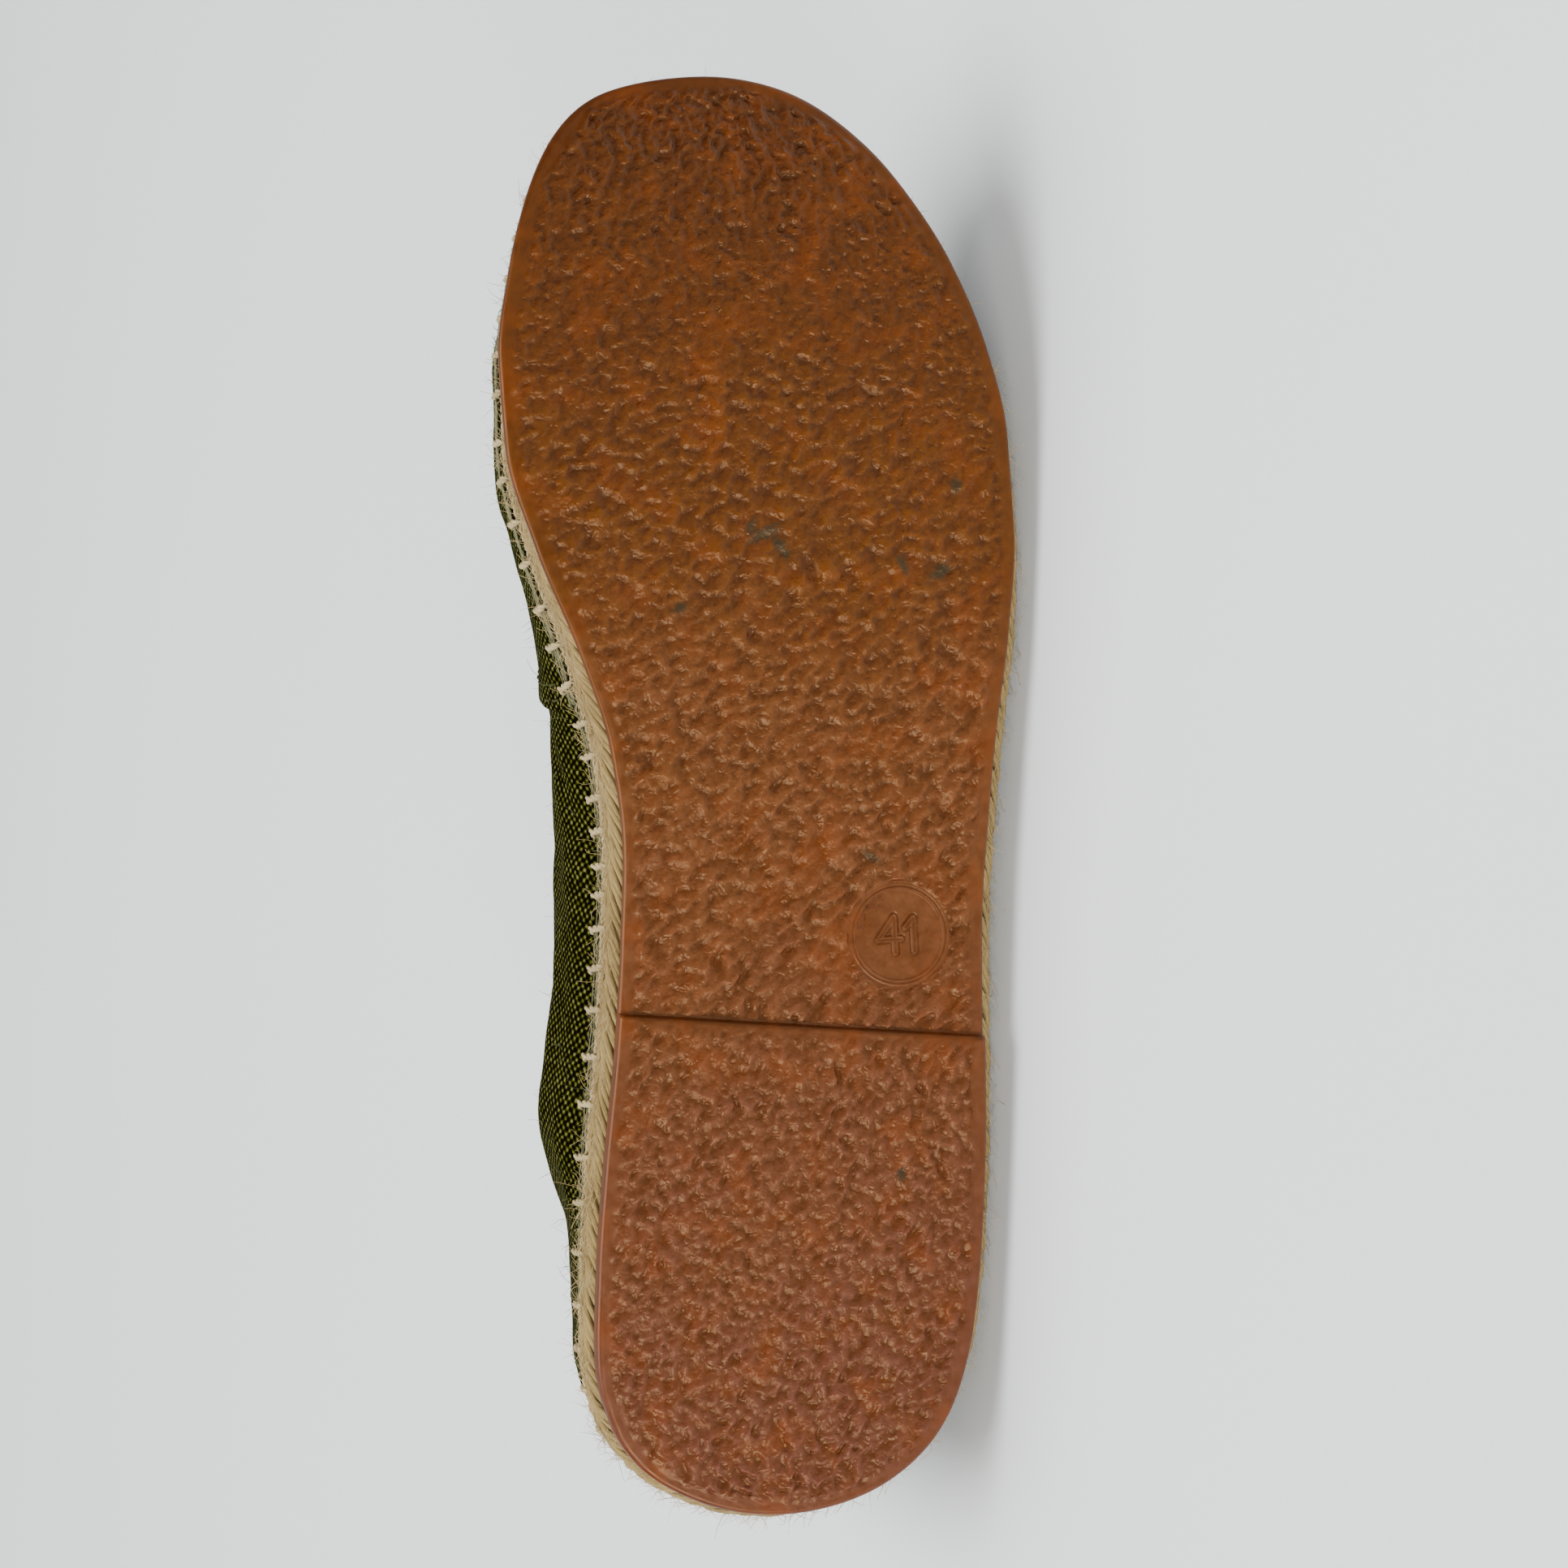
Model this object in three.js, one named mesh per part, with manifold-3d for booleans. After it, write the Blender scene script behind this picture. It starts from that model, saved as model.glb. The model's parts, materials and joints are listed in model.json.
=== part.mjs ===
// Canvas espadrille for a left foot: a pebbled rubber tread, a jute rope sole, a thin insole and a
// canvas upper with its vamp lapped over the quarter. The shoe lies on its lateral side.
// Millimetres. The shoe's own frame: x from heel to toe, y to the lateral side, z up from the tread.
import * as THREE from "three";
import { mergeVertices } from "three/addons/utils/BufferGeometryUtils.js";
import { ConvexHull } from "three/addons/math/ConvexHull.js";
import Module from "manifold-3d";

// Driving sizes of the last and the sole
const soleLength = 275;
const ballWidth = 98.5;
const heelHeight = 48.5; // top of the rope to the topline at the back of the heel
const instepHeight = 50; // top of the rope to the throat of the vamp
const toeSpring = 9;
const rubberThick = 3.8;
const heelStep = 1.8;
const ropeThick = 13.6;
const ropeShown = 9.4; // bare rope between the rubber and the canvas
const ropeSwell = 3.6; // the rope stands this far out past the rubber where it swells most
const canvasEdgeOut = 1.8; // the canvas's lower edge stands this far out past the rubber
const ropeRound = 1.2; // chamfer round the rope's top edge
const insoleThick = 1.2;
const gap = 0.3; // clearance between two pieces that touch

// Canvas
const canvasWall = 1.3;
const vampLayer = 0.9; // the vamp lies this far proud of the quarter
const hemDepth = 9;
const hemLayer = 0.8;
const edgeRise = 0.6; // the wall stands straight until this far above the rope

// Rubber details
const edgeRound = 0.9;
const edgeTurn = 0.3; // where the edge turns halfway, as a share of edgeRound
const grooveDepth = 0.35;
const grooveBelowTop = 1.4;
const medallionRadius = 9.3;
const medallionDepth = 0.5;
const medallionSteps = 40;

// Places along the sole, as shares of its length
const medialBreast = 0.3525;
const lateralBreast = 0.319;
const medialSeam = 0.567;
const lateralSeam = 0.5;
const medallionAt = 0.39;
const medallionOut = 0.277; // share of the ball width, to the lateral side

const leanStart = 0.25; // the shoe is let down leaning this much towards its upper

// Mesh steps
const heelRows = 15;
const frontRows = 29;
const acrossSteps = 6;
const wallLevels = 7;
const pairSpread = 0.0012; // share of the length between the two rows of a step

// The tread's outline: half widths as shares of the ball width, by share of the length.
const outline = [
  { at: 0, medial: 0, lateral: 0 },
  { at: 0.015, medial: 0.187, lateral: 0.189 },
  { at: 0.045, medial: 0.304, lateral: 0.295 },
  { at: 0.07, medial: 0.345, lateral: 0.338 },
  { at: 0.115, medial: 0.37, lateral: 0.379 },
  { at: 0.18, medial: 0.357, lateral: 0.408 },
  { at: 0.25, medial: 0.332, lateral: 0.427 },
  { at: 0.33, medial: 0.297, lateral: 0.439 },
  { at: 0.4, medial: 0.274, lateral: 0.451 },
  { at: 0.47, medial: 0.26, lateral: 0.474 },
  { at: 0.53, medial: 0.274, lateral: 0.497 },
  { at: 0.6, medial: 0.327, lateral: 0.531 },
  { at: 0.67, medial: 0.398, lateral: 0.554 },
  { at: 0.74, medial: 0.447, lateral: 0.551 },
  { at: 0.8, medial: 0.451, lateral: 0.52 },
  { at: 0.86, medial: 0.421, lateral: 0.463 },
  { at: 0.915, medial: 0.373, lateral: 0.38 },
  { at: 0.955, medial: 0.314, lateral: 0.294 },
  { at: 0.985, medial: 0.222, lateral: 0.187 },
  { at: 1, medial: 0, lateral: 0 },
];

// The underside from the side: the arch as a share of the heel step, the toe as a share of the spring.
const underside = [
  { at: 0.3, arch: 1, spring: 0 },
  { at: 0.42, arch: 1.2, spring: 0 },
  { at: 0.52, arch: 0.6, spring: 0 },
  { at: 0.6, arch: 0, spring: 0 },
  { at: 0.78, arch: 0, spring: 0 },
  { at: 0.86, arch: 0, spring: 0.16 },
  { at: 0.93, arch: 0, spring: 0.48 },
  { at: 1, arch: 0, spring: 1 },
];

// How much of its swell the rope has on each side: the toe of the sole is pressed flatter. The tucks say
// how far the canvas is drawn in over the rope's top edge, as shares of canvasEdgeOut. Below zero it
// leans out instead, as it does where the last overhangs the waist of the sole.
const swell = [
  { at: 0, medial: 0.8, lateral: 0.8, medialTuck: 0.3, lateralTuck: 0.3 },
  { at: 0.12, medial: 0.7, lateral: 1, medialTuck: 0.2, lateralTuck: 0.55 },
  { at: 0.2, medial: 0.62, lateral: 1, medialTuck: -0.4, lateralTuck: 0.6 },
  { at: 0.29, medial: 0.58, lateral: 1, medialTuck: -1.1, lateralTuck: 0.65 },
  { at: 0.45, medial: 0.58, lateral: 1, medialTuck: -1.1, lateralTuck: 0.65 },
  { at: 0.55, medial: 0.55, lateral: 1, medialTuck: -1, lateralTuck: 0.65 },
  { at: 0.62, medial: 0.45, lateral: 0.85, medialTuck: -0.4, lateralTuck: 0.6 },
  { at: 0.7, medial: 0.35, lateral: 0.7, medialTuck: 0.1, lateralTuck: 0.5 },
  { at: 0.93, medial: 0.3, lateral: 0.45, medialTuck: 0.2, lateralTuck: 0.3 },
  { at: 1, medial: 0.35, lateral: 0.35, medialTuck: 0.2, lateralTuck: 0.2 },
];

// Side of the rope sole: height as a share of its thickness, standing out as a share of its swell.
// Two rows of strands swell either side of a groove, and the top is let in under the canvas.
const ropeSide = [
  { up: 0, out: -0.2 },
  { up: 0.06, out: 0.4 },
  { up: 0.16, out: 0.86 },
  { up: 0.25, out: 1 },
  { up: 0.33, out: 0.88 },
  { up: 0.37, out: 0.68 },
  { up: 0.41, out: 0.88 },
  { up: 0.49, out: 1 },
  { up: 0.59, out: 0.88 },
];

// Ribs of the upper, from the sole up to the topline. at and topAt are shares of the length, topOut
// of the ball width, heelUp of the heel height, instepUp of the instep height. The other columns
// bend the rib: rise and drop are shares of its height, flare of the ball width, reach of its span.
const medialRibs = [
  { at: 0, topAt: 0.016, topOut: 0, heelUp: 1, instepUp: 0, rise: 0.35, flare: 0.012, reach: 0.1, drop: 0.3 },
  { at: 0.01, topAt: 0.022, topOut: 0.105, heelUp: 0.985, instepUp: 0, rise: 0.35, flare: 0.012, reach: 0.1, drop: 0.3 },
  { at: 0.036, topAt: 0.05, topOut: 0.205, heelUp: 0.95, instepUp: 0, rise: 0.35, flare: 0.012, reach: 0.1, drop: 0.3 },
  { at: 0.091, topAt: 0.1, topOut: 0.262, heelUp: 0.885, instepUp: 0, rise: 0.34, flare: 0.012, reach: 0.1, drop: 0.32 },
  { at: 0.182, topAt: 0.187, topOut: 0.3, heelUp: 0.785, instepUp: 0, rise: 0.28, flare: 0.016, reach: 0.1, drop: 0.4 },
  { at: 0.275, topAt: 0.282, topOut: 0.33, heelUp: 0.72, instepUp: 0, rise: 0.22, flare: 0.062, reach: 0.3, drop: 0.45 },
  { at: 0.365, topAt: 0.374, topOut: 0.298, heelUp: 0.685, instepUp: 0, rise: 0.22, flare: 0.056, reach: 0.3, drop: 0.45 },
  { at: 0.455, topAt: 0.473, topOut: 0.276, heelUp: 0.665, instepUp: 0, rise: 0.22, flare: 0.058, reach: 0.3, drop: 0.45 },
  { at: 0.515, topAt: 0.56, topOut: 0.272, heelUp: 0.35, instepUp: 0.34, rise: 0.24, flare: 0.058, reach: 0.3, drop: 0.42 },
  { at: 0.567, topAt: 0.629, topOut: 0.215, heelUp: 0, instepUp: 0.82, rise: 0.3, flare: 0.056, reach: 0.36, drop: 0.34 },
  { at: 0.62, topAt: 0.653, topOut: 0.15, heelUp: 0, instepUp: 0.92, rise: 0.38, flare: 0.03, reach: 0.42, drop: 0.26 },
  { at: 0.7, topAt: 0.662, topOut: 0.095, heelUp: 0, instepUp: 0.966, rise: 0.44, flare: 0.004, reach: 0.45, drop: 0.22 },
  { at: 0.8, topAt: 0.665, topOut: 0.05, heelUp: 0, instepUp: 0.984, rise: 0.46, flare: 0, reach: 0.45, drop: 0.27 },
  { at: 0.9, topAt: 0.667, topOut: 0.01, heelUp: 0, instepUp: 0.994, rise: 0.48, flare: 0, reach: 0.44, drop: 0.33 },
  { at: 1, topAt: 0.667, topOut: -0.03, heelUp: 0, instepUp: 1, rise: 0.5, flare: 0.01, reach: 0.42, drop: 0.36 },
];
const lateralRibs = [
  { at: 0, topAt: 0.016, topOut: 0, heelUp: 1, instepUp: 0, rise: 0.35, flare: 0.012, reach: 0.1, drop: 0.3 },
  { at: 0.01, topAt: 0.022, topOut: 0.107, heelUp: 0.985, instepUp: 0, rise: 0.35, flare: 0.012, reach: 0.1, drop: 0.3 },
  { at: 0.036, topAt: 0.05, topOut: 0.212, heelUp: 0.95, instepUp: 0, rise: 0.35, flare: 0.012, reach: 0.1, drop: 0.3 },
  { at: 0.091, topAt: 0.1, topOut: 0.29, heelUp: 0.885, instepUp: 0, rise: 0.35, flare: 0.006, reach: 0.1, drop: 0.3 },
  { at: 0.182, topAt: 0.185, topOut: 0.343, heelUp: 0.795, instepUp: 0, rise: 0.35, flare: 0, reach: 0.1, drop: 0.3 },
  { at: 0.275, topAt: 0.28, topOut: 0.378, heelUp: 0.74, instepUp: 0, rise: 0.35, flare: 0, reach: 0.1, drop: 0.3 },
  { at: 0.365, topAt: 0.378, topOut: 0.405, heelUp: 0.705, instepUp: 0, rise: 0.35, flare: 0, reach: 0.1, drop: 0.3 },
  { at: 0.44, topAt: 0.49, topOut: 0.422, heelUp: 0.55, instepUp: 0.15, rise: 0.36, flare: -0.004, reach: 0.15, drop: 0.3 },
  { at: 0.5, topAt: 0.6, topOut: 0.34, heelUp: 0, instepUp: 0.79, rise: 0.39, flare: -0.01, reach: 0.32, drop: 0.3 },
  { at: 0.56, topAt: 0.638, topOut: 0.255, heelUp: 0, instepUp: 0.89, rise: 0.41, flare: -0.015, reach: 0.42, drop: 0.25 },
  { at: 0.63, topAt: 0.654, topOut: 0.185, heelUp: 0, instepUp: 0.943, rise: 0.42, flare: -0.018, reach: 0.45, drop: 0.22 },
  { at: 0.71, topAt: 0.661, topOut: 0.132, heelUp: 0, instepUp: 0.972, rise: 0.42, flare: -0.015, reach: 0.45, drop: 0.22 },
  { at: 0.8, topAt: 0.665, topOut: 0.09, heelUp: 0, instepUp: 0.986, rise: 0.44, flare: -0.01, reach: 0.45, drop: 0.27 },
  { at: 0.9, topAt: 0.667, topOut: 0.055, heelUp: 0, instepUp: 0.994, rise: 0.47, flare: 0, reach: 0.44, drop: 0.33 },
  { at: 1, topAt: 0.667, topOut: 0.03, heelUp: 0, instepUp: 1, rise: 0.5, flare: 0.01, reach: 0.42, drop: 0.36 },
];

const sides = {
  medial: { sign: -1, breast: medialBreast, seam: medialSeam, ribs: medialRibs, tuck: "medialTuck" },
  lateral: { sign: 1, breast: lateralBreast, seam: lateralSeam, ribs: lateralRibs, tuck: "lateralTuck" },
};

// Columns whose curves run on at both ends of their table, where the others end level.
const openEnded = ["medial", "lateral", "topOut"];

const wasm = await Module();
wasm.setup();

// A share of the length as an angle that opens out both round ends of the outline.
function swing(at) {
  return Math.acos(1 - 2 * THREE.MathUtils.clamp(at, 0, 1));
}

function unswing(angle) {
  return (1 - Math.cos(angle)) / 2;
}

// Slope of a monotone cubic at one row, from the rises on its two sides.
function rowSlope(before, after, widthBefore, widthAfter) {
  if (before * after <= 0) return 0;
  const a = 2 * widthAfter + widthBefore;
  const b = widthAfter + 2 * widthBefore;
  return (a + b) / (a / before + b / after);
}

// A column of a table at one place, by a monotone cubic through its rows. An open-ended column leaves
// both ends of the table with the slope of its last stretch.
function smooth(rows, column, place, key = (row) => row.at) {
  const last = rows.length - 1;
  if (place <= key(rows[0])) return rows[0][column];
  if (place >= key(rows[last])) return rows[last][column];
  const i = rows.findIndex((row, n) => n < last && place < key(rows[n + 1]));
  const width = (n) => key(rows[n + 1]) - key(rows[n]);
  const rise = (n) => (rows[n + 1][column] - rows[n][column]) / width(n);
  const slope = (n) => {
    if (n === 0 || n === last) return openEnded.includes(column) ? rise(Math.min(n, last - 1)) : 0;
    return rowSlope(rise(n - 1), rise(n), width(n - 1), width(n));
  };
  const u = (place - key(rows[i])) / width(i);
  const uu = u * u;
  const uuu = uu * u;
  return (
    (2 * uuu - 3 * uu + 1) * rows[i][column] +
    (uuu - 2 * uu + u) * width(i) * slope(i) +
    (3 * uu - 2 * uuu) * rows[i + 1][column] +
    (uuu - uu) * width(i) * slope(i + 1)
  );
}

// A column of a table that runs round an end, so it is read by angle.
function round(rows, column, angle) {
  return smooth(rows, column, angle, (row) => swing(row.at));
}

// A point of the tread's outline, and the direction straight out of it.
function outlinePoint(side, angle) {
  const half = round(outline, side, angle) * ballWidth;
  return new THREE.Vector2(unswing(angle) * soleLength, sides[side].sign * half);
}

function outlineNormal(side, angle) {
  const step = 0.01;
  const sign = sides[side].sign;
  const before = angle < step ? outlinePoint(otherSide(side), step - angle) : outlinePoint(side, angle - step);
  const over = angle + step - Math.PI;
  const after = over > 0 ? outlinePoint(otherSide(side), Math.PI - over) : outlinePoint(side, angle + step);
  const run = after.sub(before).normalize();
  return new THREE.Vector2(-run.y * sign, run.x * sign);
}

function otherSide(side) {
  return side === "medial" ? "lateral" : "medial";
}

// Rows of the sole. Each has an angle on its side and says whether it is behind the heel breast.
// One of them runs where the vamp's edge meets the sole.
function soleRows(side) {
  const breast = swing(sides[side].breast);
  const front = swing(sides[side].breast + pairSpread);
  const rows = [{ side, angle: swing(sides[side].seam), heel: false }];
  for (let i = 0; i <= heelRows; i++) rows.push({ side, angle: (breast * i) / heelRows, heel: true });
  for (let i = 0; i <= frontRows; i++) {
    rows.push({ side, angle: front + ((Math.PI - front) * i) / frontRows, heel: false });
  }
  return rows.sort((a, b) => a.angle - b.angle);
}

// Rows of the upper: the sole's rows, with one added close in front of the seam, where the vamp steps up.
function upperRows(side) {
  const seam = sides[side].seam;
  return [...soleRows(side), { side, angle: swing(seam + pairSpread) }]
    .sort((a, b) => a.angle - b.angle)
    .map((row) => ({ ...row, vamp: row.angle > swing(seam) }));
}

// One ring of rows: up the medial side from heel to toe and back down the lateral side.
function ringOf(rowsOf) {
  return [...rowsOf("medial"), ...rowsOf("lateral").slice(1, -1).reverse()];
}

// Heights, by share of the length
function archHeight(at) {
  return smooth(underside, "arch", at) * heelStep + smooth(underside, "spring", at) * toeSpring;
}

function underHeight(at, heel) {
  return heel ? 0 : archHeight(at);
}

function rubberTop(at) {
  return rubberThick + archHeight(at);
}

function ropeBase(at) {
  return rubberTop(at) + gap;
}

function ropeTop(at) {
  return ropeBase(at) + ropeThick;
}

function canvasEdge(at) {
  return ropeBase(at) + ropeShown;
}

function swellAt(at, side) {
  return smooth(swell, side, at);
}

// How far the canvas stands out past the rubber, at its lower edge and at the foot of its wall.
function edgeOut(at, side) {
  return canvasEdgeOut * swellAt(at, side);
}

function footOut(at, side) {
  return edgeOut(at, side) - smooth(swell, sides[side].tuck, at) * canvasEdgeOut;
}

// How far out the pieces inside the leaning foot of the canvas may reach, this high above its edge.
function underCanvas(at, side, rise) {
  const lean = (footOut(at, side) - edgeOut(at, side)) / (ropeThick - ropeShown + edgeRise);
  return edgeOut(at, side) + lean * rise - (canvasWall + gap) * Math.hypot(1, lean);
}

// The outline's ring moved out by a length, at a height given by share of the length.
function ring(rows, out, height) {
  return rows.map((row) => {
    const at = unswing(row.angle);
    const foot = outlinePoint(row.side, row.angle);
    foot.addScaledVector(outlineNormal(row.side, row.angle), out(at, row.side));
    return new THREE.Vector3(foot.x, foot.y, height(foot.x / soleLength, row.heel));
  });
}

function geometryOf(points, faces) {
  const geometry = new THREE.BufferGeometry().setFromPoints(points);
  geometry.setIndex(faces);
  return geometry;
}

// Quads between one ring and the next, as two triangles each.
function ringFaces(from, to, count) {
  const faces = [];
  for (let i = 0; i < count; i++) {
    const j = (i + 1) % count;
    faces.push(from + i, from + j, to + i, from + j, to + j, to + i);
  }
  return faces;
}

// A slab with a shaped side: its rings from the underside to the top, closed by a grid across each.
function slab(rings, rows, under, over) {
  const count = rings[0].length;
  const half = count / 2;
  const points = rings.flat();
  const faces = [];
  for (let k = 0; k < rings.length - 1; k++) faces.push(...ringFaces(k * count, (k + 1) * count, count));
  const cap = (first, height, facesUp) => {
    const grid = [];
    for (let i = 1; i < half; i++) {
      const left = points[first + i];
      const right = points[first + count - i];
      const line = [first + i];
      for (let j = 1; j < acrossSteps; j++) {
        const point = left.clone().lerp(right, j / acrossSteps);
        point.z = height(point.x / soleLength, rows[i].heel);
        line.push(points.push(point) - 1);
      }
      line.push(first + count - i);
      grid.push(line);
    }
    const add = (a, b, c) => (facesUp ? faces.push(a, b, c) : faces.push(a, c, b));
    for (let j = 0; j < acrossSteps; j++) {
      add(first, grid[0][j], grid[0][j + 1]);
      add(first + half, grid[half - 2][j + 1], grid[half - 2][j]);
      for (let i = 0; i < half - 2; i++) {
        add(grid[i][j], grid[i + 1][j], grid[i][j + 1]);
        add(grid[i][j + 1], grid[i + 1][j], grid[i + 1][j + 1]);
      }
    }
  };
  cap(0, under, false);
  cap((rings.length - 1) * count, over, true);
  return geometryOf(points, faces);
}

function manifoldOf(geometry) {
  const merged = mergeVertices(new THREE.BufferGeometry()
    .setAttribute("position", geometry.getAttribute("position"))
    .setIndex(geometry.index));
  return new wasm.Manifold(new wasm.Mesh({
    numProp: 3,
    vertProperties: new Float32Array(merged.getAttribute("position").array),
    triVerts: new Uint32Array(merged.index.array),
  }));
}

// What is left of one closed geometry once another is cut out of it.
function cutOut(geometry, tool) {
  const mesh = manifoldOf(geometry).subtract(manifoldOf(tool)).getMesh();
  return new THREE.BufferGeometry()
    .setAttribute("position", new THREE.BufferAttribute(mesh.vertProperties, 3))
    .setIndex(new THREE.BufferAttribute(mesh.triVerts, 1));
}

function outsoleGeometry() {
  const rows = ringOf(soleRows);
  const fromUnder = (lift) => (at, heel) => underHeight(at, heel) + lift;
  const fromTop = (drop) => (at) => rubberTop(at) - drop;
  const rings = [
    ring(rows, () => -edgeRound, fromUnder(0)),
    ring(rows, () => -edgeRound * edgeTurn, fromUnder(edgeRound * edgeTurn)),
    ring(rows, () => 0, fromUnder(edgeRound)),
    ring(rows, () => 0, fromTop(grooveBelowTop + grooveDepth)),
    ring(rows, () => -grooveDepth, fromTop(grooveBelowTop)),
    ring(rows, () => 0, fromTop(grooveBelowTop - grooveDepth)),
    ring(rows, () => 0, fromTop(grooveDepth)),
    ring(rows, () => -grooveDepth, fromTop(0)),
  ];
  const tread = slab(rings, rows, fromUnder(0), fromTop(0));
  const sink = archHeight(medallionAt) + medallionDepth;
  const disc = new THREE.CylinderGeometry(medallionRadius, medallionRadius, 2 * sink, medallionSteps);
  disc.rotateX(Math.PI / 2).translate(medallionAt * soleLength, medallionOut * ballWidth, 0);
  return cutOut(tread, disc);
}

function midsoleGeometry() {
  const rows = ringOf(soleRows);
  const covered = ropeThick - ropeShown;
  const bare = ropeSide.map(({ up, out }) =>
    ring(rows, (at, side) => out * ropeSwell * swellAt(at, side), (at) => ropeBase(at) + up * ropeThick));
  const ledge = (at) => canvasEdge(at) - gap;
  const rounded = (at) => ropeTop(at) - ropeRound;
  const rings = [
    ...bare,
    ring(rows, edgeOut, ledge),
    ring(rows, (at, side) => underCanvas(at, side, 0), ledge),
    ring(rows, (at, side) => underCanvas(at, side, covered - ropeRound), rounded),
    ring(rows, (at, side) => underCanvas(at, side, covered) - ropeRound, ropeTop),
  ];
  return slab(rings, rows, ropeBase, ropeTop);
}

function insoleGeometry() {
  const rows = ringOf(soleRows);
  const out = (at, side) => underCanvas(at, side, ropeThick - ropeShown + gap) - gap;
  const base = (at) => ropeTop(at) + gap;
  const top = (at) => base(at) + insoleThick;
  return slab([ring(rows, out, base), ring(rows, out, top)], rows, base, top);
}

// The rib of the upper that starts at a row of the ring, as a curve from the sole to the topline.
function rib(row) {
  const column = (name) => round(sides[row.side].ribs, name, row.angle);
  const at = unswing(row.angle);
  const foot = outlinePoint(row.side, row.angle);
  const out = outlineNormal(row.side, row.angle);
  foot.addScaledVector(out, footOut(at, row.side));
  const start = new THREE.Vector3(foot.x, foot.y, ropeTop(foot.x / soleLength) + edgeRise);
  const topAt = column("topAt");
  const top = new THREE.Vector3(
    topAt * soleLength,
    sides[row.side].sign * column("topOut") * ballWidth,
    ropeTop(topAt) + column("heelUp") * heelHeight + column("instepUp") * instepHeight,
  );
  const height = top.z - start.z;
  const flare = column("flare") * ballWidth;
  const first = start.clone().add(new THREE.Vector3(out.x * flare, out.y * flare, column("rise") * height));
  const second = top.clone().lerp(new THREE.Vector3(start.x, start.y, top.z), column("reach"));
  second.add(new THREE.Vector3(out.x * flare, out.y * flare, -column("drop") * height));
  return new THREE.CubicBezierCurve3(start, first, second, top);
}

// The upper's middle form: a point for each level of each rib, before it has any thickness.
function upperForm(rows) {
  return rows.map((row) => {
    const curve = rib(row);
    const hem = 1 - hemDepth / curve.getLength();
    const start = curve.getPoint(0);
    const foot = outlinePoint(row.side, row.angle);
    foot.addScaledVector(outlineNormal(row.side, row.angle), edgeOut(unswing(row.angle), row.side));
    const edge = new THREE.Vector3(foot.x, foot.y, canvasEdge(foot.x / soleLength));
    const wall = [start];
    for (let k = 1; k <= wallLevels; k++) wall.push(curve.getPoint((hem * k) / wallLevels));
    const hemStart = curve.getPoint(hem + pairSpread);
    return [edge, ...wall, hemStart, curve.getPoint((1 + hem) / 2), curve.getPoint(1)];
  });
}

// Straight out of the upper's form at one point, from the points around it. The lower edge is cut level.
function formNormal(form, i, k) {
  const count = form.length;
  const last = form[0].length - 1;
  const along = new THREE.Vector3().subVectors(form[(i + 2) % count][k], form[(i + count - 2) % count][k]);
  const up = new THREE.Vector3().subVectors(form[i][Math.min(k + 1, last)], form[i][Math.max(k - 1, 0)]);
  const out = along.cross(up);
  return (k === 0 ? out.setZ(0) : out).normalize();
}

function upperGeometry() {
  const rows = ringOf(upperRows);
  const form = upperForm(rows);
  const levels = form[0].length;
  const hemLevel = wallLevels + 2;
  const layer = (k, thickness) => form.map((line, i) =>
    line[k].clone().addScaledVector(formNormal(form, i, k), thickness(rows[i])));
  const rings = [];
  for (let k = 0; k < levels; k++) rings.push(layer(k, (row) => (row.vamp ? vampLayer : 0)));
  for (let k = levels - 1; k >= 0; k--) {
    const wall = canvasWall + (k >= hemLevel ? hemLayer : 0);
    rings.push(layer(k, () => -wall));
  }
  const faces = rings.flatMap((_, k) =>
    ringFaces(k * rows.length, ((k + 1) % rings.length) * rows.length, rows.length));
  return geometryOf(rings.flat(), faces);
}

function piece(name, geometry, color, roughness) {
  const mesh = new THREE.Mesh(geometry, new THREE.MeshStandardMaterial({ color, roughness, metalness: 0 }));
  mesh.name = name;
  return mesh;
}

function cornersOf(mesh) {
  const position = mesh.geometry.getAttribute("position");
  return Array.from({ length: position.count }, (_, i) => new THREE.Vector3().fromBufferAttribute(position, i));
}

// The flat of the shoe's hull that lies under its middle once its lateral side is turned down.
function restingFace(points, middle) {
  const hull = new ConvexHull().setFromPoints(points);
  const down = new THREE.Vector3(0, 1, leanStart).normalize();
  for (let turn = 0; turn < 3; turn++) {
    const reach = (face) => (face.constant - face.normal.dot(middle)) / face.normal.dot(down);
    const facing = hull.faces.filter((face) => face.normal.dot(down) > 0);
    const lowest = facing.reduce((best, face) => (reach(face) < reach(best) ? face : best));
    down.copy(lowest.normal);
  }
  return down;
}

// Centre of the volume of all the pieces, where the shoe's weight acts.
function middleOf(meshes) {
  const middle = new THREE.Vector3();
  let volume = 0;
  for (const mesh of meshes) {
    const corners = cornersOf(mesh);
    const index = mesh.geometry.index.array;
    for (let i = 0; i < index.length; i += 3) {
      const [a, b, c] = [corners[index[i]], corners[index[i + 1]], corners[index[i + 2]]];
      const part = a.dot(b.clone().cross(c)) / 6;
      volume += part;
      middle.add(a.clone().add(b).add(c).multiplyScalar(part / 4));
    }
  }
  return middle.divideScalar(volume);
}

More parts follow.
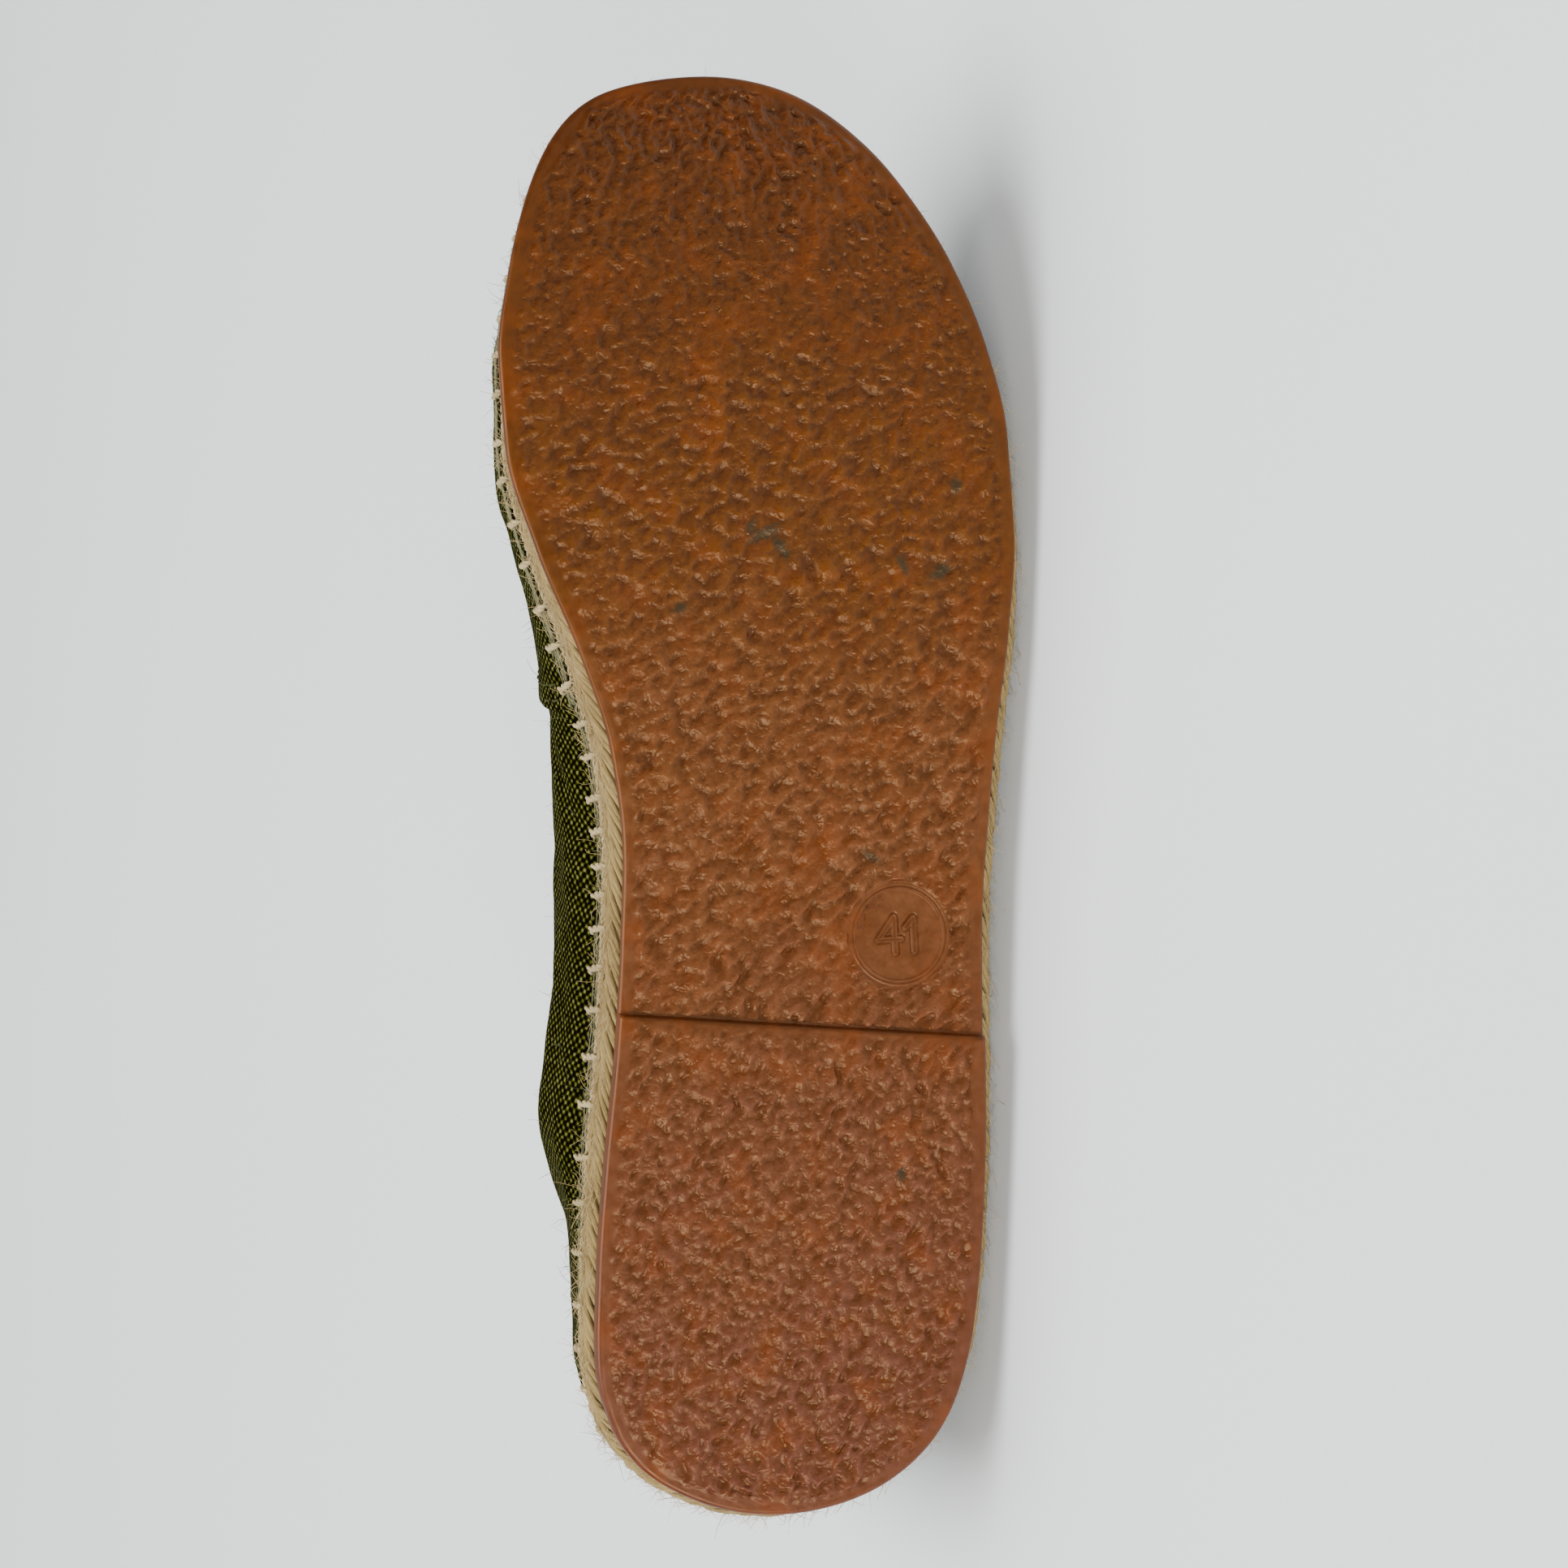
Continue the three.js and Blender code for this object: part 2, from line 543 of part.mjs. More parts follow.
// Lay the shoe on its side: that face down, the toe towards +X, the origin under the middle of its box.
function layDown(shoe) {
  const points = shoe.children.flatMap(cornersOf);
  const up = restingFace(points, middleOf(shoe.children)).negate();
  const ahead = new THREE.Vector3(1, 0, 0).addScaledVector(up, -up.x).normalize();
  const across = up.clone().cross(ahead);
  shoe.matrixAutoUpdate = false;
  shoe.matrix.makeBasis(ahead, across, up).transpose();
  const box = new THREE.Box3().setFromPoints(points.map((point) => point.clone().applyMatrix4(shoe.matrix)));
  const centre = box.getCenter(new THREE.Vector3());
  shoe.matrix.premultiply(new THREE.Matrix4().makeTranslation(-centre.x, -centre.y, -box.min.z));
}

const shoe = new THREE.Group();
shoe.add(
  piece("outsole", outsoleGeometry(), 0x9a5324, 0.45),
  piece("midsole", midsoleGeometry(), 0xbfa27a, 0.95),
  piece("insole", insoleGeometry(), 0xcbbd9f, 0.9),
  piece("upper", upperGeometry(), 0x4a4f22, 0.95),
);
layDown(shoe);

export default shoe;
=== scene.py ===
import json
import math

import bpy
import numpy as np
from mathutils import Matrix, Vector


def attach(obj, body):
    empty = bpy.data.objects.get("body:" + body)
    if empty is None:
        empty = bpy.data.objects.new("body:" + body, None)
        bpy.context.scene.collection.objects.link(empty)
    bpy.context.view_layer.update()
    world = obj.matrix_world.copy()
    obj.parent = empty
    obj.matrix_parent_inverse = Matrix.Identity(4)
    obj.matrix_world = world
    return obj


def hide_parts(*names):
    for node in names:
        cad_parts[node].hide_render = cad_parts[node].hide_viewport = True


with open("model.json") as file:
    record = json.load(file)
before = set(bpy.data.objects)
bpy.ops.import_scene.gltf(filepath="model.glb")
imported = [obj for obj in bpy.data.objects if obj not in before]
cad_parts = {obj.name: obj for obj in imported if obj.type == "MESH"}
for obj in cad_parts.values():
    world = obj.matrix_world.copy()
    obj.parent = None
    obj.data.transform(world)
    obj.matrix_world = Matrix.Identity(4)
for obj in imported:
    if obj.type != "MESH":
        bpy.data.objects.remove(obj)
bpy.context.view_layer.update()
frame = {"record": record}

MM = 0.001
FLOOR_CLEARANCE = 0.00005  # metres, kept by whatever would sink into the floor


def table(columns, *rows):
    """Rows of numbers under named columns, as one array for each column."""
    return dict(zip(columns.split(), np.array(rows, float).T))


# Sizes of the last and the sole, as in the model
SOLE_LENGTH = 275
BALL_WIDTH = 98.5
HEEL_HEIGHT = 48.5
INSTEP_HEIGHT = 50
TOE_SPRING = 9
RUBBER_THICK = 3.8
HEEL_STEP = 1.8
ROPE_THICK = 13.6
ROPE_SHOWN = 9.4
ROPE_SWELL = 3.6
CANVAS_EDGE_OUT = 1.8
GAP = 0.3
CANVAS_WALL = 1.3
VAMP_LAYER = 0.9
HEM_DEPTH = 9
HEM_LAYER = 0.8
EDGE_RISE = 0.6
EDGE_ROUND = 0.9
GROOVE_DEPTH = 0.35

# Places along the sole, as shares of its length
MEDIAL_BREAST = 0.3525
LATERAL_BREAST = 0.319
MEDIAL_SEAM = 0.567
LATERAL_SEAM = 0.5
HEEL_REST_AT = 0.17

# The medallion, fitted to the photo more closely than the model's: its place is in shares of the sole's
# length and of the ball's width
MEDALLION_RADIUS = 8.95
MEDALLION_AT = 0.3935
MEDALLION_OUT = 0.277

OUTLINE = table(
    "at medial lateral",
    (0, 0, 0),
    (0.015, 0.187, 0.189),
    (0.045, 0.304, 0.295),
    (0.07, 0.345, 0.338),
    (0.115, 0.37, 0.379),
    (0.18, 0.357, 0.408),
    (0.25, 0.332, 0.427),
    (0.33, 0.297, 0.439),
    (0.4, 0.274, 0.451),
    (0.47, 0.26, 0.474),
    (0.53, 0.274, 0.497),
    (0.6, 0.327, 0.531),
    (0.67, 0.398, 0.554),
    (0.74, 0.447, 0.551),
    (0.8, 0.451, 0.52),
    (0.86, 0.421, 0.463),
    (0.915, 0.373, 0.38),
    (0.955, 0.314, 0.294),
    (0.985, 0.222, 0.187),
    (1, 0, 0),
)

UNDERSIDE = table(
    "at arch spring",
    (0.3, 1, 0),
    (0.42, 1.2, 0),
    (0.52, 0.6, 0),
    (0.6, 0, 0),
    (0.78, 0, 0),
    (0.86, 0, 0.16),
    (0.93, 0, 0.48),
    (1, 0, 1),
)

SWELL = table(
    "at medial lateral medial_tuck lateral_tuck",
    (0, 0.8, 0.8, 0.3, 0.3),
    (0.12, 0.7, 1, 0.2, 0.55),
    (0.2, 0.62, 1, -0.4, 0.6),
    (0.29, 0.58, 1, -1.1, 0.65),
    (0.45, 0.58, 1, -1.1, 0.65),
    (0.55, 0.55, 1, -1, 0.65),
    (0.62, 0.45, 0.85, -0.4, 0.6),
    (0.7, 0.35, 0.7, 0.1, 0.5),
    (0.93, 0.3, 0.45, 0.2, 0.3),
    (1, 0.35, 0.35, 0.2, 0.2),
)

# How far rope, sock and canvas stand back under the rubber's edge
DRAWN_IN = table(
    "at medial_in lateral_in",
    (0, 0.8, 0.8),
    (0.05, 1.2, 0.6),
    (0.12, 1.2, 0.4),
    (0.25, 0.4, 0.25),
    (0.4, 0, 0.25),
    (0.56, 0.2, 0.25),
    (0.65, 1.2, 0.25),
    (0.74, 2.4, 0.25),
    (0.84, 3.6, 0.8),
    (0.95, 3.4, 2),
    (1, 3, 3),
)

ROPE_SIDE = table(
    "up out",
    (0, -0.2),
    (0.06, 0.4),
    (0.16, 0.86),
    (0.25, 1),
    (0.33, 0.88),
    (0.37, 0.68),
    (0.41, 0.88),
    (0.49, 1),
    (0.59, 0.88),
    (0.69, 0.6),
)

RIB_COLUMNS = "at top_at top_out heel_up instep_up rise flare reach drop"
MEDIAL_RIBS = table(
    RIB_COLUMNS,
    (0, 0.016, 0, 1, 0, 0.35, 0.012, 0.1, 0.3),
    (0.01, 0.022, 0.105, 0.985, 0, 0.35, 0.012, 0.1, 0.3),
    (0.036, 0.05, 0.205, 0.95, 0, 0.35, 0.012, 0.1, 0.3),
    (0.091, 0.1, 0.262, 0.885, 0, 0.34, 0.012, 0.1, 0.32),
    (0.182, 0.187, 0.3, 0.785, 0, 0.28, 0.016, 0.1, 0.4),
    (0.275, 0.282, 0.33, 0.72, 0, 0.22, 0.062, 0.3, 0.45),
    (0.365, 0.374, 0.298, 0.685, 0, 0.22, 0.056, 0.3, 0.45),
    (0.455, 0.473, 0.276, 0.665, 0, 0.22, 0.058, 0.3, 0.45),
    (0.515, 0.56, 0.272, 0.35, 0.34, 0.24, 0.058, 0.3, 0.42),
    (0.567, 0.629, 0.215, 0, 0.82, 0.3, 0.056, 0.36, 0.34),
    (0.62, 0.653, 0.15, 0, 0.92, 0.38, 0.03, 0.42, 0.26),
    (0.7, 0.662, 0.095, 0, 0.966, 0.44, 0.004, 0.45, 0.22),
    (0.8, 0.665, 0.05, 0, 0.984, 0.46, 0, 0.45, 0.27),
    (0.9, 0.667, 0.01, 0, 0.994, 0.48, 0, 0.44, 0.33),
    (1, 0.667, -0.03, 0, 1, 0.5, 0.01, 0.42, 0.36),
)
LATERAL_RIBS = table(
    RIB_COLUMNS,
    (0, 0.016, 0, 1, 0, 0.35, 0.012, 0.1, 0.3),
    (0.01, 0.022, 0.107, 0.985, 0, 0.35, 0.012, 0.1, 0.3),
    (0.036, 0.05, 0.212, 0.95, 0, 0.35, 0.012, 0.1, 0.3),
    (0.091, 0.1, 0.29, 0.885, 0, 0.35, 0.006, 0.1, 0.3),
    (0.182, 0.185, 0.343, 0.795, 0, 0.35, 0, 0.1, 0.3),
    (0.275, 0.28, 0.378, 0.74, 0, 0.35, 0, 0.1, 0.3),
    (0.365, 0.378, 0.405, 0.705, 0, 0.35, 0, 0.1, 0.3),
    (0.44, 0.49, 0.422, 0.55, 0.15, 0.36, -0.004, 0.15, 0.3),
    (0.5, 0.6, 0.34, 0, 0.79, 0.39, -0.01, 0.32, 0.3),
    (0.56, 0.638, 0.255, 0, 0.89, 0.41, -0.015, 0.42, 0.25),
    (0.63, 0.654, 0.185, 0, 0.943, 0.42, -0.018, 0.45, 0.22),
    (0.71, 0.661, 0.132, 0, 0.972, 0.42, -0.015, 0.45, 0.22),
    (0.8, 0.665, 0.09, 0, 0.986, 0.44, -0.01, 0.45, 0.27),
    (0.9, 0.667, 0.055, 0, 0.994, 0.47, 0, 0.44, 0.33),
    (1, 0.667, 0.03, 0, 1, 0.5, 0.01, 0.42, 0.36),
)
# Columns whose curves run on at both ends of their table, where the others end level
OPEN_ENDED = ("medial", "lateral", "top_out")


# Curves through the tables


def swing(at):
    """A share of the length as an angle that opens out both round ends of the outline."""
    return np.arccos(1 - 2 * np.clip(at, 0, 1))


def unswing(angle):
    return (1 - np.cos(angle)) / 2


def smooth(rows, column, place, keys=None):
    """A column of a table at places along it, by the same monotone cubic as the model's."""
    keys = rows["at"] if keys is None else keys
    values = rows[column]
    width = np.diff(keys)
    rise = np.diff(values) / width
    before, after = rise[:-1], rise[1:]
    a = 2 * width[1:] + width[:-1]
    b = width[1:] + 2 * width[:-1]
    same_way = before * after > 0
    harmonic = (a + b) / (a / np.where(same_way, before, 1) + b / np.where(same_way, after, 1))
    slope = np.zeros(len(keys))
    slope[1:-1] = np.where(same_way, harmonic, 0)
    if column in OPEN_ENDED:
        slope[0], slope[-1] = rise[0], rise[-1]
    place = np.clip(place, keys[0], keys[-1])
    i = np.clip(np.searchsorted(keys, place, side="right") - 1, 0, len(keys) - 2)
    u = (place - keys[i]) / width[i]
    return (
        (2 * u**3 - 3 * u**2 + 1) * values[i]
        + (u**3 - 2 * u**2 + u) * width[i] * slope[i]
        + (3 * u**2 - 2 * u**3) * values[i + 1]
        + (u**3 - u**2) * width[i] * slope[i + 1]
    )


def by_angle(rows, column, angle):
    """A column of a table that runs round an end, so it is read by angle."""
    return smooth(rows, column, angle, swing(rows["at"]))


def folded(angle):
    """An angle round the whole shoe as the angle on its side, and that side's sign.
    From 0 to a half turn is the medial side from heel to toe; past either end is the lateral side."""
    angle = (np.asarray(angle, float) + math.pi) % (2 * math.pi) - math.pi
    return np.abs(angle), np.where(angle >= 0, -1.0, 1.0)


def by_share(rows, column, angle):
    """A column of a table that runs along the sole."""
    return smooth(rows, column, unswing(angle))


def by_side(angle, read, medial, lateral):
    """What read() finds in the table and column of the side that each angle is on."""
    angle, sign = folded(angle)
    return np.where(sign < 0, read(*medial, angle), read(*lateral, angle))


def outline(angle):
    """Points of the tread's outline."""
    half = by_side(angle, by_angle, (OUTLINE, "medial"), (OUTLINE, "lateral"))
    side_angle, sign = folded(angle)
    return np.stack([unswing(side_angle) * SOLE_LENGTH, sign * half * BALL_WIDTH], axis=-1)


def outline_normal(angle):
    """The direction straight out of the outline."""
    step = 0.01
    run = outline(angle + step) - outline(angle - step)
    run /= np.linalg.norm(run, axis=-1, keepdims=True)
    return np.stack([run[..., 1], -run[..., 0]], axis=-1)


def outline_out(angle, out):
    """Points of the outline moved straight out by a length."""
    return outline(angle) + outline_normal(angle) * np.asarray(out)[..., None]


def arch_height(at):
    return smooth(UNDERSIDE, "arch", at) * HEEL_STEP + smooth(UNDERSIDE, "spring", at) * TOE_SPRING


def rubber_top(at):
    return RUBBER_THICK + arch_height(at)


def rope_base(at):
    return rubber_top(at) + GAP


def rope_top(at):
    return rope_base(at) + ROPE_THICK


def canvas_edge(at):
    return rope_base(at) + ROPE_SHOWN


def sole_value(column, angle):
    """A column of SWELL that differs by side."""
    return by_side(angle, by_share, (SWELL, "medial" + column), (SWELL, "lateral" + column))


def drawn_in(angle):
    """How far rope, sock and canvas stand back."""
    return by_side(angle, by_share, (DRAWN_IN, "medial_in"), (DRAWN_IN, "lateral_in"))


def edge_out(angle):
    """How far the canvas edge stands out past the outline."""
    return CANVAS_EDGE_OUT * sole_value("", angle) - drawn_in(angle)


def foot_out(angle):
    """How far out the canvas is where it leaves the rope."""
    return edge_out(angle) - sole_value("_tuck", angle) * CANVAS_EDGE_OUT


def ease(x, low=0.0, high=1.0):
    """0 below low and 1 above high, with a smooth step between."""
    t = np.clip((x - low) / (high - low), 0, 1)
    return t * t * (3 - 2 * t)


def bell(x, width):
    """1 at zero, falling off smoothly on both sides."""
    return np.exp(-((x / width) ** 2))


def unit(vectors):
    return vectors / np.maximum(np.linalg.norm(vectors, axis=-1, keepdims=True), 1e-12)


# Lengths round the outline, from the middle of the heel up the medial side and back
ROUND_STEPS = 6000
round_angles = np.linspace(0, 2 * math.pi, ROUND_STEPS + 1)
round_lengths = np.concatenate(
    [[0], np.cumsum(np.linalg.norm(np.diff(outline(round_angles), axis=0), axis=1))]
)
ROUND_LENGTH = round_lengths[-1]


def angle_at(length):
    return np.interp(np.mod(length, ROUND_LENGTH), round_lengths, round_angles)


def length_at(angle):
    return np.interp(np.mod(angle, 2 * math.pi), round_angles, round_lengths)


def way_round(length, spot):
    """The shorter way round the outline to a length, below zero where it lies before the spot."""
    return (length - spot + ROUND_LENGTH / 2) % ROUND_LENGTH - ROUND_LENGTH / 2


# Seeded noise over a plane

NOISE_GRID = 256


def ripple(x, y, size, seed):
    """Smooth noise from about -1 to 1 with features of that size."""
    turn = np.random.default_rng(seed).random((NOISE_GRID, NOISE_GRID)) * 2 * math.pi
    u, v = x / size, y / size
    i, j = np.floor(u).astype(int), np.floor(v).astype(int)
    a, b = ease(u - i), ease(v - j)

    def at(di, dj):
        way = turn[(i + di) % NOISE_GRID, (j + dj) % NOISE_GRID]
        return np.cos(way) * (u - i - di) + np.sin(way) * (v - j - dj)

    low = at(0, 0) * (1 - a) + at(1, 0) * a
    high = at(0, 1) * (1 - a) + at(1, 1) * a
    return 1.6 * (low * (1 - b) + high * b)


# The shoe's frame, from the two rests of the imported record

mounts = {mount["name"]: mount for mount in frame["record"]["mounts"]}
heel_rest = np.array(mounts["heel_rest"]["pos_m"])
forefoot_rest = np.array(mounts["forefoot_rest"]["pos_m"])
AHEAD = unit(forefoot_rest - heel_rest)
UPWARD = unit(-np.array(mounts["heel_rest"]["axis"]))
AXES = np.array([AHEAD, np.cross(UPWARD, AHEAD), UPWARD])
ORIGIN = heel_rest - AHEAD * HEEL_REST_AT * SOLE_LENGTH * MM


def turned(direction):
    return np.asarray(direction) @ AXES


def place(points):
    return ORIGIN + turned(points) * MM


# Meshes


def add_object(name, data):
    thing = bpy.data.objects.new(name, data)
    bpy.context.scene.collection.objects.link(thing)
    return thing


def build(name, points, faces, material, layers=None, replaces=()):
    """A piece from points in the shoe's frame. layers holds three numbers a point for its material."""
    points = np.asarray(points, float).reshape(-1, 3)
    spots = place(points)
    spots[:, 2] = np.maximum(spots[:, 2], FLOOR_CLEARANCE)
    mesh = bpy.data.meshes.new(name)
    polygons = [face for group in faces for face in np.asarray(group).tolist()]
    mesh.from_pydata(spots.tolist(), [], polygons)
    mesh.validate()
    mesh.shade_smooth()
    for layer, values in {"shoe": points, **(layers or {})}.items():
        attribute = mesh.attributes.new(layer, "FLOAT_VECTOR", "POINT")
        attribute.data.foreach_set("vector", np.asarray(values, np.float32).reshape(-1, 3).ravel())
    mesh.materials.append(material)
    piece = add_object(name, mesh)
    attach(piece, "root")
    if replaces:
        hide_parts(*replaces)
    return piece


def grid_faces(rows, columns, close_rows=False, close_columns=False):
    """Quads between the points of a grid, which is stored row after row."""
    i = np.arange(rows if close_rows else rows - 1)[:, None]
    j = np.arange(columns if close_columns else columns - 1)[None, :]
    after_i, after_j = (i + 1) % rows, (j + 1) % columns
    quads = np.stack(
        [i * columns + j, i * columns + after_j, after_i * columns + after_j, after_i * columns + j],
        axis=-1,
    )
    return quads.reshape(-1, 4)


def capped(rows, columns):
    """Faces of a grid that closes on itself across its columns, with a lid over each end row."""
    ends = np.arange(columns)[None]
    return [grid_faces(rows, columns, close_columns=True), ends[:, ::-1], ends + (rows - 1) * columns]


def lengths_along(paths):
    """Length along each path from its start."""
    steps = np.linalg.norm(np.diff(paths, axis=1, prepend=paths[:, :1]), axis=-1)
    return np.cumsum(steps, axis=1)


def build_tubes(name, paths, facing, half_width, half_depth, sides, material):
    """Closed tubes along paths (tube, step, xyz). facing is the way their depth points.
    Their strand layer holds each point's length along, share round and tube number."""
    count, steps = paths.shape[:2]
    along = unit(np.gradient(paths, axis=1))
    across = unit(np.cross(along, np.broadcast_to(facing, paths.shape)))
    out = np.cross(across, along)
    turn = np.arange(sides) * 2 * math.pi / sides
    half_width = np.broadcast_to(half_width, (count, steps))[..., None, None]
    half_depth = np.broadcast_to(half_depth, (count, steps))[..., None, None]
    points = (
        paths[:, :, None]
        + out[:, :, None] * half_depth * np.cos(turn)[:, None]
        + across[:, :, None] * half_width * np.sin(turn)[:, None]
    )
    one = grid_faces(steps, sides, close_columns=True)
    first = np.arange(count)[:, None, None] * steps * sides
    quads = (one[None] + first).reshape(-1, 4)
    head = first[:, :, 0] + np.arange(sides)[None, ::-1]
    tail = first[:, :, 0] + (steps - 1) * sides + np.arange(sides)[None]
    parts = (lengths_along(paths)[:, :, None], turn / (2 * math.pi), np.arange(count)[:, None, None])
    strand = np.stack([np.broadcast_to(part, (count, steps, sides)) for part in parts], axis=-1)
    return build(name, points, [quads, head, tail], material, {"strand": strand})


# Materials


class Look:
    """One material, its nodes made and joined by short calls."""

    def __init__(self, name):
        self.material = bpy.data.materials.new(name)
        self.material.use_nodes = True
        self.tree = self.material.node_tree
        self.tree.nodes.clear()

    def add(self, kind, inputs=None, **settings):
        node = self.tree.nodes.new("ShaderNode" + kind)
        for key, value in settings.items():
            setattr(node, key, value)
        for key, value in (inputs or {}).items():
            self.put(node.inputs[key], value)
        return node

    def put(self, socket, value):
        if isinstance(value, bpy.types.NodeSocket):
            self.tree.links.new(value, socket)
        elif socket.type == "RGBA":
            socket.default_value = (*value, 1)
        else:
            socket.default_value = value

    def layer(self, name):
        return self.add("Attribute", attribute_name=name).outputs["Vector"]

    def split(self, vector):
        node = self.add("SeparateXYZ", {"Vector": vector})
        return node.outputs["X"], node.outputs["Y"], node.outputs["Z"]

    def scaled(self, vector, scale):
        return self.add("VectorMath", {0: vector, 1: scale}, operation="MULTIPLY").outputs["Vector"]

    def noise(self, vector, scale, detail=2.0, roughness=0.5, distortion=0.0):
        inputs = {
            "Vector": vector,
            "Scale": scale,
            "Detail": detail,
            "Roughness": roughness,
            "Distortion": distortion,
        }
        return self.add("TexNoise", inputs).outputs["Fac"]

    def math(self, operation, a, b=0.0):
        return self.add("Math", {0: a, 1: b}, operation=operation).outputs["Value"]

    def plus(self, a, b):
        return self.math("ADD", a, b)

    def times(self, a, b):
        return self.math("MULTIPLY", a, b)

    def spread(self, value, low, high, to_low=0.0, to_high=1.0):
        inputs = {"Value": value, "From Min": low, "From Max": high, "To Min": to_low, "To Max": to_high}
        return self.add("MapRange", inputs).outputs["Result"]

    def mix(self, share, a, b):
        node = self.add("Mix", data_type="RGBA")
        self.put(node.inputs["Factor"], share)
        self.put(node.inputs[6], a)
        self.put(node.inputs[7], b)
        return node.outputs[2]

    def ramp(self, value, *stops):
        node = self.add("ValToRGB", {"Fac": value})
        elements = node.color_ramp.elements
        while len(elements) < len(stops):
            elements.new(0.5)
        for element, (position, colour) in zip(elements, stops):
            element.position = position
            element.color = (*colour, 1)
        return node.outputs["Color"]

    def bump(self, height, distance, strength=1.0, normal=None):
        inputs = {"Height": height, "Distance": distance, "Strength": strength}
        if normal is not None:
            inputs["Normal"] = normal
        return self.add("Bump", inputs).outputs["Normal"]

    def finish(self, **sockets):
        """The surface. Socket names are written with _ for a space."""
        inputs = {key.replace("_", " "): value for key, value in sockets.items()}
        shader = self.add("BsdfPrincipled", inputs)
        output = self.add("OutputMaterial")
        self.tree.links.new(shader.outputs["BSDF"], output.inputs["Surface"])
        return self.material


def rubber_look():
    """Amber natural rubber: deep orange in its creases, painted darker there as painted shade, and pink on
    its crests towards the heel as a painted reflection; the crests are painted lighter as painted
    highlight.
    """
    look = Look("amber_rubber")
    shoe = look.layer("shoe")
    # crest is the painted light level: it paints highlight on the crests and shade in the creases and
    # recesses.
    crest, dirt, crepe = look.split(look.layer("shading_dirt_crepe"))
    along = look.times(look.split(shoe)[0], 1 / SOLE_LENGTH)
    cloud = look.noise(shoe, 0.03, 4.0, 0.6)
    place_along = look.plus(along, look.spread(cloud, 0.3, 0.7, -0.09, 0.09))
    # crease is the colour painted where the crest level is low, darkened as painted shade; top is the
    # colour of the crests, paler as painted highlight, with a pink painted reflection towards the heel.
    crease = look.ramp(
        place_along,
        (0.1, (0.058, 0.0105, 0.001)),
        (0.45, (0.055, 0.0105, 0.0)),
        (0.7, (0.043, 0.0075, 0.0)),
        (0.95, (0.036, 0.0062, 0.0)),
    )
    top = look.ramp(
        place_along,
        (0.1, (0.103, 0.0285, 0.0165)),
        (0.45, (0.124, 0.037, 0.011)),
        (0.7, (0.094, 0.0235, 0.0)),
        (0.95, (0.074, 0.0145, 0.0)),
    )
    mottle = look.noise(shoe, 0.35, 3.0, 0.6)
    fine = look.noise(shoe, 0.75, 1.0, 0.5, 0.5)
    grain = look.noise(shoe, 3.2, 3.0, 0.65)
    # lumpy paints the fine bumps' light and shade into the colour, from the same noise as the first bump.
    lumpy = look.times(look.spread(fine, 0.25, 0.75, -0.22, 0.22), crepe)
    level = look.plus(look.plus(crest, lumpy), look.spread(mottle, 0.3, 0.7, -0.15, 0.15))
    # body mixes the painted shade of the creases with the painted highlight of the crests.
    body = look.mix(look.spread(level, 0.2, 0.84), crease, top)
    hot = look.times(look.spread(look.noise(shoe, 0.1, 3.0, 0.6), 0.5, 0.66), 0.35)
    glow = look.mix(hot, body, (0.15, 0.026, 0.0))
    stained = look.mix(dirt, glow, (0.012, 0.013, 0.007))
    normal = look.bump(look.times(fine, crepe), 0.4 * MM)
    gritty = look.times(grain, look.spread(crepe, 0.0, 1.0, 0.35, 1.0))
    normal = look.bump(gritty, 0.04 * MM, 0.7, normal)
    return look.finish(
        Base_Color=stained,
        Roughness=look.spread(mottle, 0.35, 0.65, 0.32, 0.46),
        Normal=normal,
        Subsurface_Weight=0.08,
        Subsurface_Radius=(2.4 * MM, 1.0 * MM, 0.4 * MM),
        Subsurface_Scale=1.0,
        Specular_IOR_Level=0.4,
        Specular_Tint=(1.0, 0.66, 0.36),
    )


def strand_look(name, dark, pale, length_scale, bump_depth):
    """Twisted fibres: streaks that run along each strand, a little different on every one."""
    look = Look(name)
    along, share, number = look.split(look.layer("strand"))
    streak = look.add("CombineXYZ", {
        "X": look.plus(look.times(along, length_scale), look.times(number, 7.3)),
        "Y": look.plus(look.times(share, 14.0), look.times(along, 0.55)),
        "Z": look.times(number, 3.1),
    }).outputs["Vector"]
    fibre = look.noise(streak, 2.2, 3.0, 0.6)
    patch = look.noise(look.layer("shoe"), 0.12, 3.0, 0.6)
    tone = look.plus(look.times(fibre, 0.7), look.times(patch, 0.3))
    colour = look.ramp(tone, (0.3, dark), (0.62, pale))
    return look.finish(
        Base_Color=colour,
        Roughness=0.85,
        Normal=look.bump(fibre, bump_depth * MM),
        Sheen_Weight=0.05,
        Sheen_Roughness=0.5,
        Specular_IOR_Level=0.2,
    )


def core_look():
    """Jute seen deep between the strands."""
    look = Look("jute_core")
    shoe = look.layer("shoe")
    fibre = look.noise(look.scaled(shoe, (0.5, 0.5, 2.5)), 1.2, 4.0, 0.7, 0.8)
    return look.finish(
        Base_Color=look.ramp(fibre, (0.32, (0.16, 0.105, 0.04)), (0.7, (0.36, 0.25, 0.11))),
        Roughness=0.95,
        Normal=look.bump(fibre, 0.5 * MM),
        Specular_IOR_Level=0.15,
    )


WEAVE_PITCH = 1.95  # two yarns of the canvas
SOCK_WEAVE = 1.1  # two yarns of the sock


